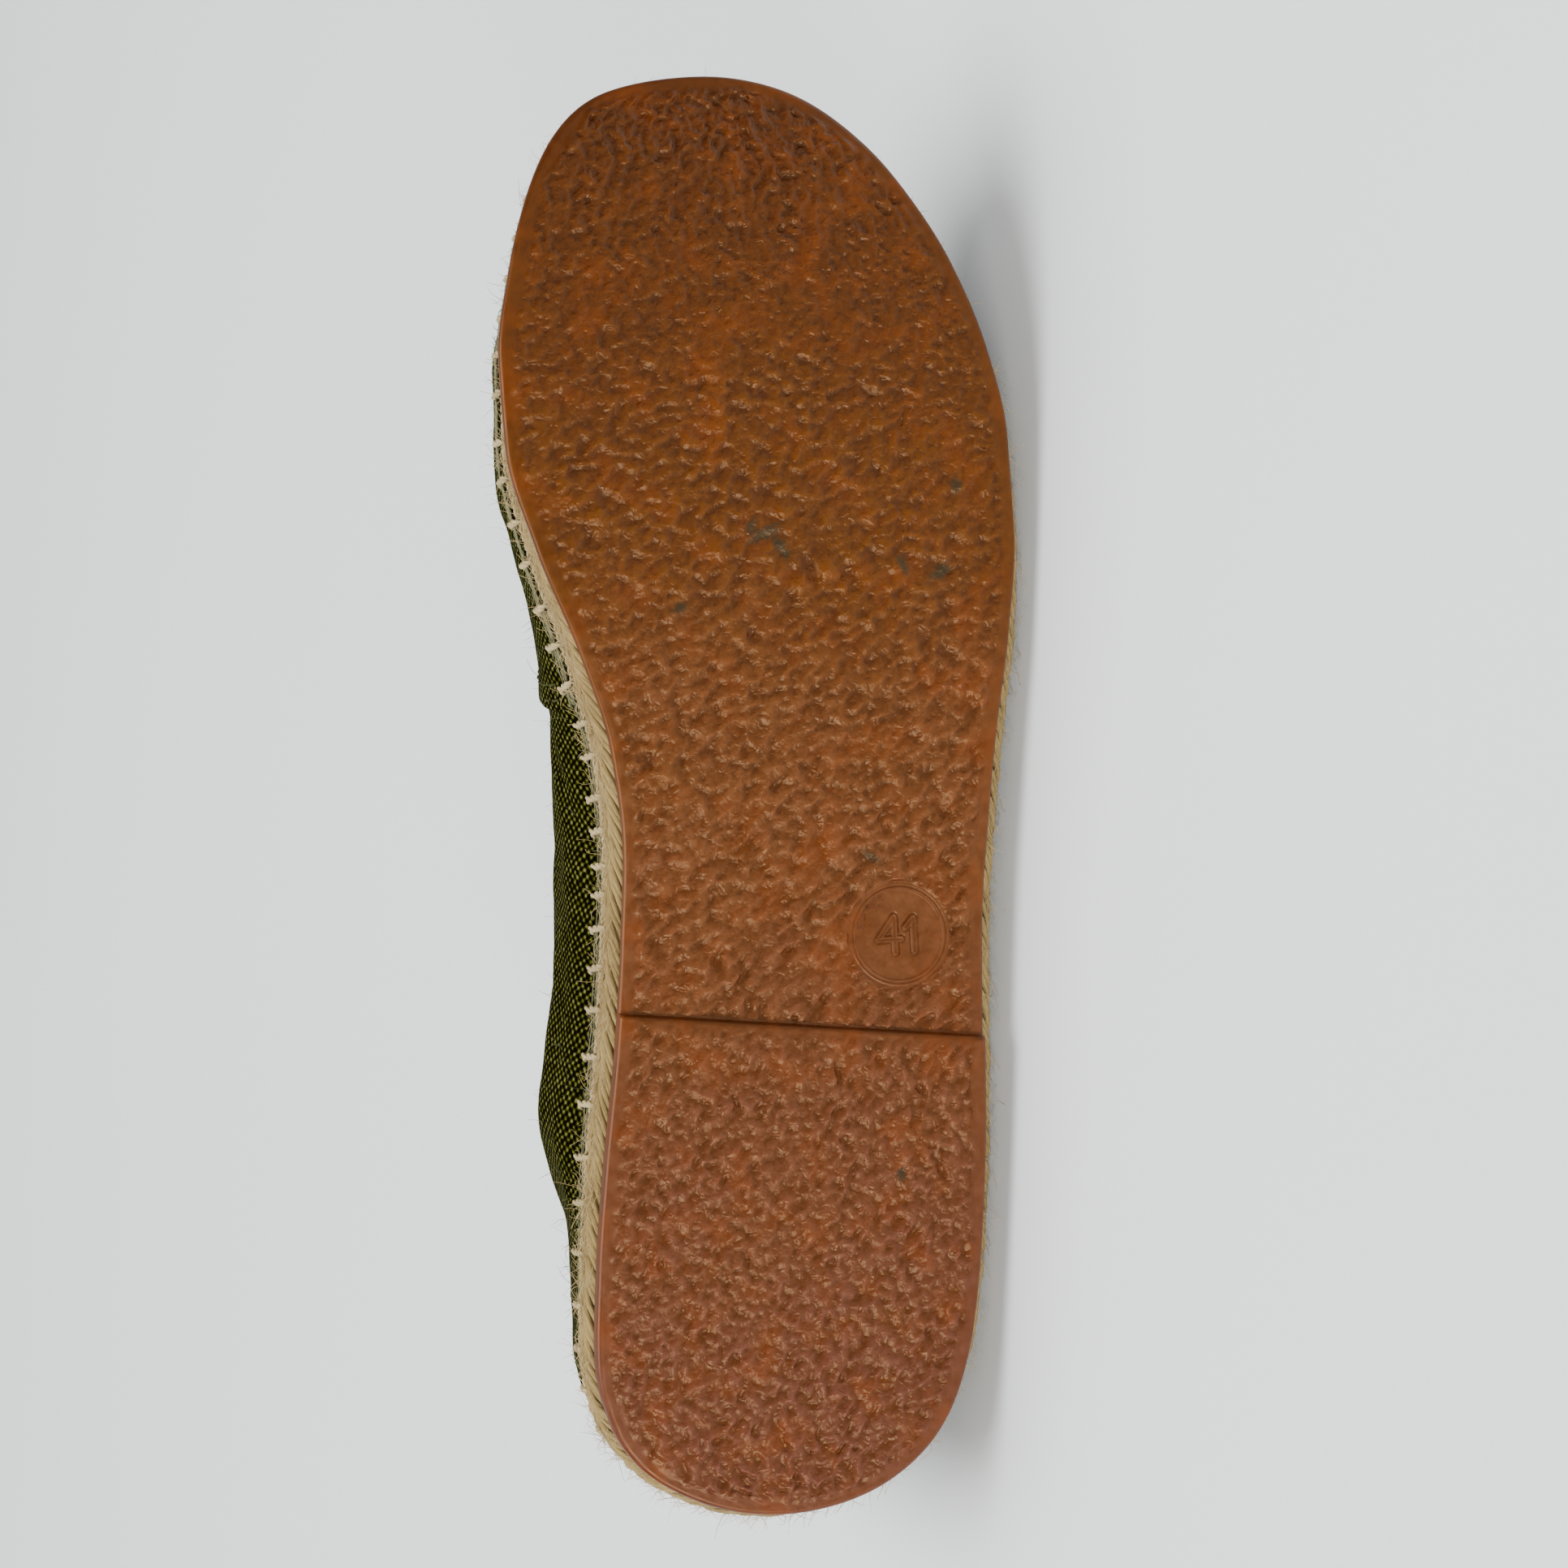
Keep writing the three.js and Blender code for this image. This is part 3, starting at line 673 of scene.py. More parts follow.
def canvas_look():
    """Coarse plain weave: olive yarns as staggered dots with dark gaps, grey at the frayed edge. The dots'
    lighter tops are painted highlight and the near-black gaps are painted shade.
    """
    look = Look("olive_canvas")
    shoe = look.layer("shoe")
    u, v, height = look.split(look.layer("cloth"))
    sway = look.noise(shoe, 0.16, 2.0)
    wave = 2 * math.pi / WEAVE_PITCH

    def yarn(way, push):
        moved = look.plus(way, look.times(look.math("SUBTRACT", sway, 0.5), push))
        return look.math("COSINE", look.times(moved, wave))

    weave = look.times(yarn(u, 1.1), yarn(v, -0.9))
    uneven = look.noise(shoe, 0.9, 3.0, 0.6)
    raised = look.plus(weave, look.spread(uneven, 0.3, 0.7, -0.45, 0.45))
    lint = look.noise(shoe, 3.2, 3.0, 0.7)
    # The yarns' olive is painted lighter on their raised tops as painted highlight and near black in the
    # gaps between them as painted shade.
    olive = look.ramp(
        look.spread(raised, -1.0, 1.2),
        (0.36, (0.0012, 0.0009, 0.0)),
        (0.52, (0.0155, 0.0155, 0.0)),
        (0.7, (0.05, 0.05, 0.002)),
        (0.92, (0.14, 0.14, 0.045)),
    )
    grey = look.ramp(
        look.times(look.plus(uneven, lint), 0.5),
        (0.4, (0.002, 0.0022, 0.001)),
        (0.54, (0.022, 0.026, 0.01)),
        (0.7, (0.09, 0.1, 0.05)),
    )
    frayed = look.spread(look.plus(height, look.times(uneven, 2.4)), 2.0, 3.6, 1.0, 0.0)
    colour = look.mix(frayed, olive, grey)
    relief = look.plus(look.spread(raised, -1.0, 1.0), look.times(lint, 0.25))
    return look.finish(
        Base_Color=colour,
        Roughness=0.9,
        Normal=look.bump(relief, 0.42 * MM),
        Specular_IOR_Level=0.02,
    )


def plain_look(name, colour):
    """Thread or hair of one colour, a little darker in places."""
    look = Look(name)
    shade = look.noise(look.layer("shoe"), 1.1, 2.0)
    darker = tuple(part * 0.72 for part in colour)
    return look.finish(
        Base_Color=look.mix(shade, darker, colour),
        Roughness=0.85,
        Specular_IOR_Level=0.25,
    )


def insole_look():
    """Plain woven sock, its threads along and across the sole."""
    look = Look("insole_weave")
    spot = look.add("TexCoord").outputs["Object"]
    x, _, z = look.split(spot)
    wave = 2 * math.pi / (SOCK_WEAVE * MM)
    weave = look.times(look.math("SINE", look.times(x, wave)), look.math("SINE", look.times(z, wave)))
    shade = look.noise(spot, 160.0, 4.0)
    tone = look.plus(look.spread(weave, -1, 1, 0.0, 0.5), look.times(shade, 0.5))
    return look.finish(
        Base_Color=look.ramp(tone, (0.2, (0.24, 0.18, 0.1)), (0.8, (0.5, 0.4, 0.25))),
        Roughness=0.9,
        Normal=look.bump(weave, 0.12 * MM),
        Specular_IOR_Level=0.2,
    )


# Tread

ACROSS = 160  # quads across the tread
ROW_STEP = 0.58
STEP_ROUND = 0.9  # the heel's front edge is rounded over this length
SIDE_LEAN = 0.7  # the rubber's top edge is this far in from its outline
# Its first number sets how light the rubber's side is painted, as the crest level does on the tread.
SIDE_SHADING_DIRT_CREPE = (0.6, 0.0, 0.0)  # the rubber's side: mostly crest, not stained, no crepe
RIM_BAND = (1.9, 3.4)  # the smooth band round the edge ends between these distances
MEDALLION_FLANGE = 11.6  # radius that the medallion's piece reaches
UNDER_MEDALLION = 1.1  # the tread keeps this far behind the medallion's piece
PEBBLE_SLANT = math.radians(20)
PEBBLE_SIZE = 1.65
PEBBLE_SLUMP = 0.8  # each pebble's crest lies this far towards the heel
PEBBLE_HEIGHT = 0.72

# Smudges on the tread: place, size and turn in millimetres and degrees.
SMUDGES = table(
    "x y length width turn",
    (186, 4.5, 4.2, 1.6, 65),
    (183.5, 7.5, 3.4, 1.3, -35),
    (187.5, 2.0, 2.4, 1.2, 20),
    (179, 31.5, 2.4, 1.1, -20),
    (177.5, 39, 3.0, 1.5, 55),
    (194, 43, 1.9, 1.3, 0),
    (172.5, -13, 2.0, 1.1, 70),
    (62.5, 24.5, 1.6, 1.1, 0),
    (123.5, 22.5, 2.6, 0.9, -60),
)


def breast_line(y):
    """x of the heel's front edge at a distance across the sole."""
    medial = outline(swing(MEDIAL_BREAST))
    lateral = outline(-swing(LATERAL_BREAST))
    share = (y - medial[1]) / (lateral[1] - medial[1])
    return medial[0] + (lateral[0] - medial[0]) * share


def edge_distance(x, y):
    """Distance in from the tread's outline."""
    border = outline(angle_at(np.linspace(0, ROUND_LENGTH, 900, endpoint=False)))
    points = np.stack([np.ravel(x), np.ravel(y)], axis=-1)
    best = np.concatenate([
        np.sqrt(((part[:, None] - border[None]) ** 2).sum(-1).min(1))
        for part in np.array_split(points, 40)
    ])
    return best.reshape(np.shape(x))


def disc_distance(x, y):
    """Distance from the medallion's middle."""
    return np.hypot(x - MEDALLION_AT * SOLE_LENGTH, y - MEDALLION_OUT * BALL_WIDTH)


def pebbles(x, y):
    """The crepe's relief, from about -1 in its creases to 1 on its crests."""
    at = x / SOLE_LENGTH
    stretch = 1.15 + 0.75 * ease(at, 0.3, 0.45) * (1 - ease(at, 0.74, 0.9))
    along = (y * math.cos(PEBBLE_SLANT) + x * math.sin(PEBBLE_SLANT)) / stretch
    across = x * math.cos(PEBBLE_SLANT) - y * math.sin(PEBBLE_SLANT)
    along = along + 0.6 * ripple(x, y, 3.4, 11)
    across = across + 0.6 * ripple(x, y, 3.1, 13)
    slumped = across + PEBBLE_SLUMP * ripple(along, across, PEBBLE_SIZE, 15)
    lumps = 1.3 * ripple(along, slumped, PEBBLE_SIZE, 15)
    small = ripple(along + 40, slumped, 0.55 * PEBBLE_SIZE, 16)
    heave = ripple(x, y, 5.5, 17)
    strength = 0.9 + 0.35 * ripple(x, y, 9, 19)
    return np.clip(strength * (0.85 * lumps + 0.3 * small) + 0.2 * heave, -1, 1)


def step_share(behind):
    """How far the heel's front edge has come down, at a distance behind its foot."""
    left = 1 - np.clip(behind / STEP_ROUND, 0, 1)
    return np.sqrt(1 - left**2)


def tread_surface(x, y):
    """Height of the underside at points of the sole, and how far each is a crest, stained and crepe. The
    crest level paints light and shade: lighter on crests as painted highlight, darker in creases and at the
    heel's front edge as painted shade.
    """
    at = x / SOLE_LENGTH
    behind = breast_line(y) - x
    base = arch_height(at) * (1 - step_share(behind))
    from_edge = edge_distance(x, y)
    ragged = 0.5 * ripple(x, y, 2.2, 21) + 0.8 * ripple(x, y, 14, 25)
    field = ease(from_edge + ragged, *RIM_BAND)
    field = field * ease(disc_distance(x, y), MEDALLION_RADIUS + 0.9, MEDALLION_RADIUS + 1.9)
    field = field * np.where(behind < 0, ease(-behind, 0.1, 0.7), ease(behind, 1.0, 3.2))
    relief = pebbles(x, y)
    faint = 0.05 * ripple(x, y, 2.6, 22) + 0.03 * ripple(x, y, 0.9, 23)
    out = field * PEBBLE_HEIGHT * relief + (1 - field) * faint
    # The crest level paints light and shade: lighter on the pebbles' crests and the rim band's faint rises
    # as painted highlight, darker in the creases as painted shade.
    crest = np.clip(field * (0.5 + 0.5 * relief) + (1 - field) * (0.55 + 2 * faint), 0, 1)
    # Painted shade at the foot of the heel's front edge, fading over a few millimetres behind it, taken off
    # the crest level.
    step_shade = (1 - 0.9 * ease(behind, 0.2, 1.6) - 0.1 * ease(behind, 1.6, 3.6)) * (behind > -0.05)
    step_shade = step_shade * (arch_height(at) > 0.4)
    crest = crest * (1 - step_shade)
    dirt = np.zeros(np.shape(x))
    for mark_x, mark_y, length, width, degrees in zip(*SMUDGES.values()):
        turn = math.radians(degrees)
        dx, dy = x - mark_x, y - mark_y
        along = (dx * math.cos(turn) + dy * math.sin(turn)) / length
        across = (dy * math.cos(turn) - dx * math.sin(turn)) / width
        spot = 1 - ease(np.hypot(along, across) + 0.4 * ripple(x, y, 0.9, 24), 0.45, 1.1)
        dirt = np.maximum(dirt, 0.85 * spot)
    return base - out, np.stack([crest, dirt, field], axis=-1)


def row_angles():
    """Angles of the tread's rows on both sides, close together where the heel steps down."""
    rows = []
    fine = np.array([2.4, 1.9, 1.5, 1.2, 0.95, 0.75, 0.55, 0.35, 0.2, 0.1, 0.03, 0])
    for sign, breast in ((1, MEDIAL_BREAST), (-1, LATERAL_BREAST)):
        step = length_at(swing(breast))
        toe = length_at(math.pi)
        if sign < 0:
            step = ROUND_LENGTH - length_at(2 * math.pi - swing(breast))
            toe = ROUND_LENGTH - length_at(math.pi)
        heel_count = int(SOLE_LENGTH * MEDIAL_BREAST / ROW_STEP)
        front_count = int(SOLE_LENGTH * (1 - MEDIAL_BREAST) / ROW_STEP)
        lengths = np.concatenate([
            np.linspace(0, step - fine[0], heel_count)[:-1],
            step - fine,
            np.linspace(step + 0.1, toe, front_count),
        ])
        rows.append(angle_at(lengths) if sign > 0 else -angle_at_back(lengths))
    return rows


def angle_at_back(length):
    """Angle on the lateral side at a length from the middle of the heel."""
    return 2 * math.pi - angle_at(ROUND_LENGTH - np.asarray(length) + 1e-9)


def tread(material):
    """The pebbled underside with its heel step, the side round it and a plain lid."""
    medial, lateral = row_angles()
    left, right = outline_out(medial, -EDGE_ROUND), outline_out(lateral, -EDGE_ROUND)
    share = np.linspace(0, 1, ACROSS + 1)[None, :, None]
    flat = left[1:-1, None] * (1 - share) + right[1:-1, None] * share
    height, shading_dirt_crepe = tread_surface(flat[..., 0], flat[..., 1])
    from_disc = disc_distance(flat[..., 0], flat[..., 1])
    covered = 1 - ease(from_disc, MEDALLION_RADIUS + 0.8, MEDALLION_RADIUS + 1.3)
    height = height + UNDER_MEDALLION * covered
    under = np.dstack([flat, height])
    ends = np.stack([left[0], left[-1]])
    end_height, end_shading_dirt_crepe = tread_surface(ends[:, 0], ends[:, 1])
    rows, columns = under.shape[:2]
    points = [under.reshape(-1, 3), np.column_stack([ends, end_height])]
    layers = [shading_dirt_crepe.reshape(-1, 3), end_shading_dirt_crepe]
    heel_end, toe_end = rows * columns, rows * columns + 1
    j = np.arange(columns - 1)
    last = (rows - 1) * columns + j
    faces = [
        grid_faces(rows, columns),
        np.stack([np.full(columns - 1, heel_end), j + 1, j], axis=-1),
        np.stack([np.full(columns - 1, toe_end), last, last + 1], axis=-1),
    ]
    border = np.concatenate([
        [heel_end], np.arange(rows) * columns, [toe_end], np.arange(rows)[::-1] * columns + columns - 1
    ])
    angles = np.concatenate([medial, lateral[1:-1][::-1]])
    rim = side_rings(angles)
    count = len(angles)
    first = toe_end + 1
    wall = grid_faces(len(rim), count, close_columns=True) + first
    foot = first + np.arange(count)
    joint = np.stack([border, np.roll(border, -1), np.roll(foot, -1), foot], axis=-1)
    top = first + (len(rim) - 1) * count
    i = np.arange(1, count // 2)
    lid = np.stack([top + i[:-1], top + i[1:], top + (count - i[1:]), top + (count - i[:-1])], axis=-1)
    half = top + count // 2
    tips = np.array([[top, top + 1, top + count - 1], [half, half + 1, half - 1]])
    faces += [wall, joint, lid, tips]
    points.append(np.concatenate(rim))
    layers.append(np.tile(SIDE_SHADING_DIRT_CREPE, (len(rim) * count, 1)))
    return build(
        "tread", np.concatenate(points), faces, material,
        {"shading_dirt_crepe": np.concatenate(layers)}, ["outsole"],
    )


# The side's two fine grooves, from the plain wall up: drop below the top, and out in groove depths.
GROOVES = table(
    "drop out",
    (2.0, 0),
    (1.75, 0),
    (1.55, -0.6),
    (1.35, -0.9),
    (1.2, -0.5),
    (1.05, 0.1),
    (0.9, 0.35),
    (0.72, 0.35),
    (0.6, 0.1),
    (0.45, -0.5),
    (0.3, -0.2),
    (0.18, 0.3),
    (0, -0.3),
)


def side_rings(angles):
    """Rings up the side of the rubber: a rounded edge, a plain wall and two fine grooves."""
    quarter = np.radians([22.5, 45, 67.5, 90])
    x = outline(angles)[:, 0]
    breast = np.where(folded(angles)[1] < 0, MEDIAL_BREAST, LATERAL_BREAST) * SOLE_LENGTH
    under = arch_height(x / SOLE_LENGTH) * (1 - step_share(breast - x))
    rings = []
    for turn in quarter:
        out = -EDGE_ROUND * (1 - math.sin(turn))
        lift = EDGE_ROUND * (1 - math.cos(turn))
        rings.append(np.column_stack([outline_out(angles, out), under + lift]))
    deepest = GROOVES["drop"][0]
    for drop, out in zip(*GROOVES.values()):
        lean = SIDE_LEAN * (deepest - drop) / deepest
        flat = outline_out(angles, out * GROOVE_DEPTH - lean)
        rings.append(np.column_stack([flat, rubber_top(x / SOLE_LENGTH) - drop]))
    return rings


# The two numerals' strokes, in millimetres from the medallion's middle
NUMERAL_STROKES = table(
    "x0 y0 x1 y1",
    (3.5, -0.85, -0.8, -4.2),
    (-0.8, -4.2, -0.8, 0.4),
    (3.5, -0.85, -3.4, -0.85),
    (3.1, 3, -3.4, 3),
    (3.1, 3, 1.3, 1.4),
)
STROKE_HALF = 0.46
STROKE_RISE = 0.2


def stroke_distance(x, y):
    """Distance from the middle of the nearest stroke."""
    best = np.full(np.shape(x), 99.0)
    for x0, y0, x1, y1 in zip(*NUMERAL_STROKES.values()):
        run = np.array([x1 - x0, y1 - y0])
        share = np.clip(((x - x0) * run[0] + (y - y0) * run[1]) / (run @ run), 0, 1)
        best = np.minimum(best, np.hypot(x - x0 - share * run[0], y - y0 - share * run[1]))
    return best


def medallion(material):
    """The round smooth spot with a double ring and the plain size number, and the crepe just round it."""
    radii = np.concatenate([np.linspace(0.05, 8.4, 62), np.linspace(8.5, MEDALLION_FLANGE, 34)])
    turn = np.linspace(0, 2 * math.pi, 256, endpoint=False)
    dx = radii[:, None] * np.cos(turn)
    dy = radii[:, None] * np.sin(turn)
    x = MEDALLION_AT * SOLE_LENGTH + dx
    y = MEDALLION_OUT * BALL_WIDTH + dy
    height, shading_dirt_crepe = tread_surface(x, y)
    radius = np.broadcast_to(radii[:, None], x.shape)
    past = radius - MEDALLION_RADIUS
    recess = 0.22 * (1 - ease(radius, MEDALLION_RADIUS - 0.5, MEDALLION_RADIUS))
    rings = 0.14 * bell(past, 0.16)
    rings += 0.1 * bell(past - 0.75, 0.16)
    groove = 0.12 * bell(past - 0.38, 0.14)
    around = 0.75 + 0.25 * np.sin(turn * 2 + 0.8)
    away = stroke_distance(dx, dy)
    number = STROKE_RISE * (1 - ease(away, STROKE_HALF, STROKE_HALF + 0.2))
    cut = 0.13 * bell(away - STROKE_HALF - 0.3, 0.14)
    hollow = 0.12 * (1 - ease(away, 0.05, 0.3))
    out = 0.03 - recess + (rings - groove) * around + number - cut - hollow
    skirt = 0.6 * ease(radius, MEDALLION_FLANGE - 0.25, MEDALLION_FLANGE)
    # Painted shade in the cut round the numerals, in the groove and in the hollows, and painted highlight
    # on the rings, through the crest level.
    shading_dirt_crepe[..., 0] = np.clip(shading_dirt_crepe[..., 0] - 2.4 * cut - 2.2 * groove - 1.6 * hollow + rings, 0, 1)
    points = np.dstack([x, y, height - out + skirt])
    return build("size_medallion", points, capped(*x.shape), material, {"shading_dirt_crepe": shading_dirt_crepe})


# Rope sole


def rope_point(length, up, lift):
    """Points on the side of the rope sole: length round it, height share, and distance off its surface."""
    angle = angle_at(length)
    profile = np.interp(up, ROPE_SIDE["up"], ROPE_SIDE["out"])
    out = profile * ROPE_SWELL * sole_value("", angle) + lift - drawn_in(angle)
    flat = outline_out(angle, out)
    height = rope_base(flat[..., 0] / SOLE_LENGTH) + up * ROPE_THICK
    return np.concatenate([flat, height[..., None]], axis=-1)


CORE_SUNK = 1.3  # the core stays this far inside the strands' outer face


def rope_core(material):
    """The rope that shows between the strands, with the flat top that carries the sock."""
    lengths = np.linspace(0, ROUND_LENGTH, 480, endpoint=False)
    rings = [rope_point(lengths, np.full(lengths.shape, up), -CORE_SUNK) for up in ROPE_SIDE["up"]]
    rim = rope_point(lengths, np.full(lengths.shape, 0.72), -3.0)
    crown = rim + np.array([0, 0, 0.27 * ROPE_THICK])
    rings += [rim, crown]
    faces = capped(len(rings), len(lengths))
    return build("jute_core", np.concatenate(rings), faces, material, None, ["midsole"])


# Rows of braid strands: height shares where a strand starts and ends, the strands' pitch and length in
# millimetres, and the way they lean.
BRAID_ROWS = table(
    "low high pitch length lean",
    (0.03, 0.34, 2.4, 15, 1),
    (0.35, 0.66, 2.5, 16, -1),
)


def braid(material):
    """Two rows of strands round the side, which lean towards each other."""
    rng = np.random.default_rng(31)
    paths, facings, widths = [], [], []
    steps = np.linspace(0, 1, 10)
    for low, high, pitch, length, lean in zip(*BRAID_ROWS.values()):
        count = int(ROUND_LENGTH / pitch)
        start = np.arange(count) * ROUND_LENGTH / count + rng.normal(0, 0.25, count)
        reach = length * (1 + rng.normal(0, 0.06, count))
        along = start[:, None] + reach[:, None] * (steps - 0.5)
        rise = low + (high - low) * ease(steps, 0.06, 0.94)
        rise = rise[None] + rng.normal(0, 0.012, count)[:, None]
        if lean < 0:
            rise = (low + high) - rise
        dive = 1.1 * (np.abs(steps * 2 - 1) ** 3.2)
        sunk = 0.7 + 0.35 * np.sin(angle_at(start))
        lift = -sunk[:, None] - dive[None] + rng.normal(0, 0.1, count)[:, None]
        path = rope_point(along, rise, lift)
        outer = rope_point(along, rise, lift + 1)
        paths.append(path)
        facings.append(outer - path)
        girth = 0.8 + 0.2 * np.sin(steps * math.pi)
        widths.append(girth[None] * (1 + rng.normal(0, 0.08, count))[:, None])
    paths = np.concatenate(paths)
    facings = np.concatenate(facings)
    widths = np.concatenate(widths)
    return build_tubes("jute_braid", paths, facings, 0.8 * widths, 0.6 * widths, 8, material)


# Sock

SOCK_THICK = 1.2
SOCK_CLEAR = 0.8  # between the sock's edge and the canvas
SOCK_END = 0.02  # radians left off at heel and toe, where the sheet would narrow to a point


def sock(material):
    """The thin sock on the rope sole, drawn in with the rope and the foot of the canvas."""

    def edge(angles):
        covered = ROPE_THICK - ROPE_SHOWN
        lean = (foot_out(angles) - edge_out(angles)) / (covered + EDGE_RISE)
        canvas_inside = edge_out(angles) + lean * (covered + GAP) - (CANVAS_WALL + GAP) * np.hypot(1, lean)
        return outline_out(angles, canvas_inside - SOCK_CLEAR)

    angles = np.linspace(SOCK_END, math.pi - SOCK_END, 160)
    share = unswing(np.linspace(0, math.pi, 19))[None, :, None]
    flat = edge(-angles)[:, None] * (1 - share) + edge(angles)[:, None] * share
    under = np.dstack([flat, rope_top(flat[..., 0] / SOLE_LENGTH) + GAP])
    points = np.concatenate([under + [0, 0, SOCK_THICK], under[:, ::-1]], axis=1)
    return build("sock", points, capped(*points.shape[:2]), material, None, ["insole"])


# Canvas upper

EDGE_LEVELS = 6
WALL_LEVELS = 46
FORM_EVENING = 10  # times that each level is evened with its neighbours
PATTERN_EVERY = 4  # the flat pattern is worked out at every such level
LAP = 1.6  # the quarter runs on this far under the vamp
VAMP_LIFT = 0.55  # the vamp's rear edge stands this much further off
RIB_STEP = 1.25

# Creases of the canvas: side is -1 for medial, at and up are shares of the sole's length and the rib, turn
# is degrees from along the shoe, and run, width and depth are millimetres. A depth below zero is a trough.
CREASES = table(
    "side at up turn run width depth",
    (-1, 0.2, 0.35, 18, 24, 6, -0.9),
    (-1, 0.26, 0.62, -12, 20, 5, 0.8),
    (-1, 0.37, 0.4, 8, 26, 5, -0.8),
    (-1, 0.44, 0.7, -20, 16, 4, 0.7),
    (-1, 0.5, 0.3, 35, 13, 3.5, -0.8),
    (-1, 0.07, 0.5, 80, 14, 5, -0.7),
    (-1, 0.68, 0.55, 70, 17, 4.5, -0.9),
    (-1, 0.72, 0.6, 62, 15, 4, 0.7),
    (1, 0.12, 0.55, 70, 15, 5, -0.7),
    (1, 0.3, 0.4, 10, 26, 6, -0.8),
    (1, 0.46, 0.55, -25, 16, 4.5, 0.8),
    (1, 0.62, 0.5, -60, 18, 5, -1.0),
    (1, 0.67, 0.62, -66, 15, 4, 0.8),
    (1, 0.8, 0.6, -75, 12, 5, -0.6),
    (-1, 0.84, 0.6, 75, 12, 5, -0.6),
)

# Blanket stitches down the medial side, in millimetres from the heel. The rest keep a pitch.
MEDIAL_STITCHES = (41, 51, 60.5, 69, 79, 88, 97, 105, 112.5, 119, 124.5, 131.5, 138, 146, 152.5, 160, 167.5)
STITCH_PITCH = 8.2
STITCH_REACH = 3.4  # how far up the canvas a blanket stitch goes
STITCH_PULL = 0.55  # how far it draws the canvas in


def stitch_lengths():
    """Lengths round the outline at which a blanket stitch crosses the canvas edge."""
    rng = np.random.default_rng(41)
    medial = length_at(swing(np.array(MEDIAL_STITCHES) / SOLE_LENGTH))
    rest = ROUND_LENGTH - (medial[-1] - medial[0])
    count = round(rest / STITCH_PITCH)
    others = medial[-1] + np.arange(1, count) * rest / count + rng.normal(0, 0.45, count - 1)
    return np.mod(np.concatenate([medial, others]), ROUND_LENGTH)


def rib_ends(angle):
    """The four points that bend each rib of the upper."""

    def column(name):
        return by_side(angle, by_angle, (MEDIAL_RIBS, name), (LATERAL_RIBS, name))

    foot = outline_out(angle, foot_out(angle))
    start = np.column_stack([foot, rope_top(foot[:, 0] / SOLE_LENGTH) + EDGE_RISE])
    top_at = column("top_at")
    top = np.column_stack([
        top_at * SOLE_LENGTH,
        folded(angle)[1] * column("top_out") * BALL_WIDTH,
        rope_top(top_at) + column("heel_up") * HEEL_HEIGHT + column("instep_up") * INSTEP_HEIGHT,
    ])
    height = top[:, 2] - start[:, 2]
    flare = outline_normal(angle) * (column("flare") * BALL_WIDTH)[:, None]
    first = start + np.column_stack([flare, column("rise") * height])
    across = np.column_stack([start[:, :2], top[:, 2]])
    second = top + (across - top) * column("reach")[:, None]
    second = second + np.column_stack([flare, -column("drop") * height])
    return start, first, second, top


def upper_form(angle):
    """The upper's outer face before creases: a row of points for each angle, from edge to topline."""
    ends = rib_ends(angle)
    edge = outline_out(angle, edge_out(angle))
    edge = np.column_stack([edge, canvas_edge(edge[:, 0] / SOLE_LENGTH)])
    low = np.linspace(0, 1, EDGE_LEVELS, endpoint=False)[None, :, None]
    straight = edge[:, None] * (1 - low) + ends[0][:, None] * low
    t = np.linspace(0, 1, WALL_LEVELS + 1)[None, :, None]
    a, b, c, d = (end[:, None] for end in ends)
    wall = (1 - t) ** 3 * a + 3 * (1 - t) ** 2 * t * b + 3 * (1 - t) * t * t * c + t**3 * d
    form = np.concatenate([straight, wall], axis=1)
    for _ in range(FORM_EVENING):
        form[:, 2:-2] = form[:, 2:-2] * 0.5 + (form[:, 1:-3] + form[:, 3:-1]) * 0.25
    return form


def grid_normals(form):
    along = np.roll(form, -1, axis=0) - np.roll(form, 1, axis=0)
    up = np.gradient(form, axis=1)
    return unit(np.cross(along, up))


def flattened(points):
    """The flat pattern of a curved panel: where each point of its grid lies once the cloth is laid out.
    The pattern's first axis runs along the panel's middle rib."""
    rows, columns = points.shape[:2]
    mesh = bpy.data.meshes.new("pattern")
    mesh.from_pydata(points.reshape(-1, 3).tolist(), [], grid_faces(rows, columns).tolist())
    panel = add_object("pattern", mesh)
    bpy.context.view_layer.objects.active = panel
    panel.select_set(True)
    mesh.uv_layers.new(name="flat")
    bpy.ops.object.mode_set(mode="EDIT")
    bpy.ops.mesh.select_all(action="SELECT")
    bpy.ops.uv.unwrap(method="CONFORMAL", margin=0)
    bpy.ops.object.mode_set(mode="OBJECT")
    corners = np.zeros(len(mesh.loops) * 2)
    mesh.uv_layers["flat"].data.foreach_get("uv", corners)
    vertex = np.zeros(len(mesh.loops), int)
    mesh.loops.foreach_get("vertex_index", vertex)
    flat = np.zeros((rows * columns, 2))
    flat[vertex] = corners.reshape(-1, 2)
    flat = flat.reshape(rows, columns, 2)
    bpy.data.objects.remove(panel)
    bpy.data.meshes.remove(mesh)
    middle = rows // 2
    span = flat[middle, -1] - flat[middle, 0]
    real = lengths_along(points)[middle, -1]
    turn = np.array([[span[1], -span[0]], [span[0], span[1]]]) / (span @ span) * real
    return (flat - flat[middle, 0]) @ turn.T


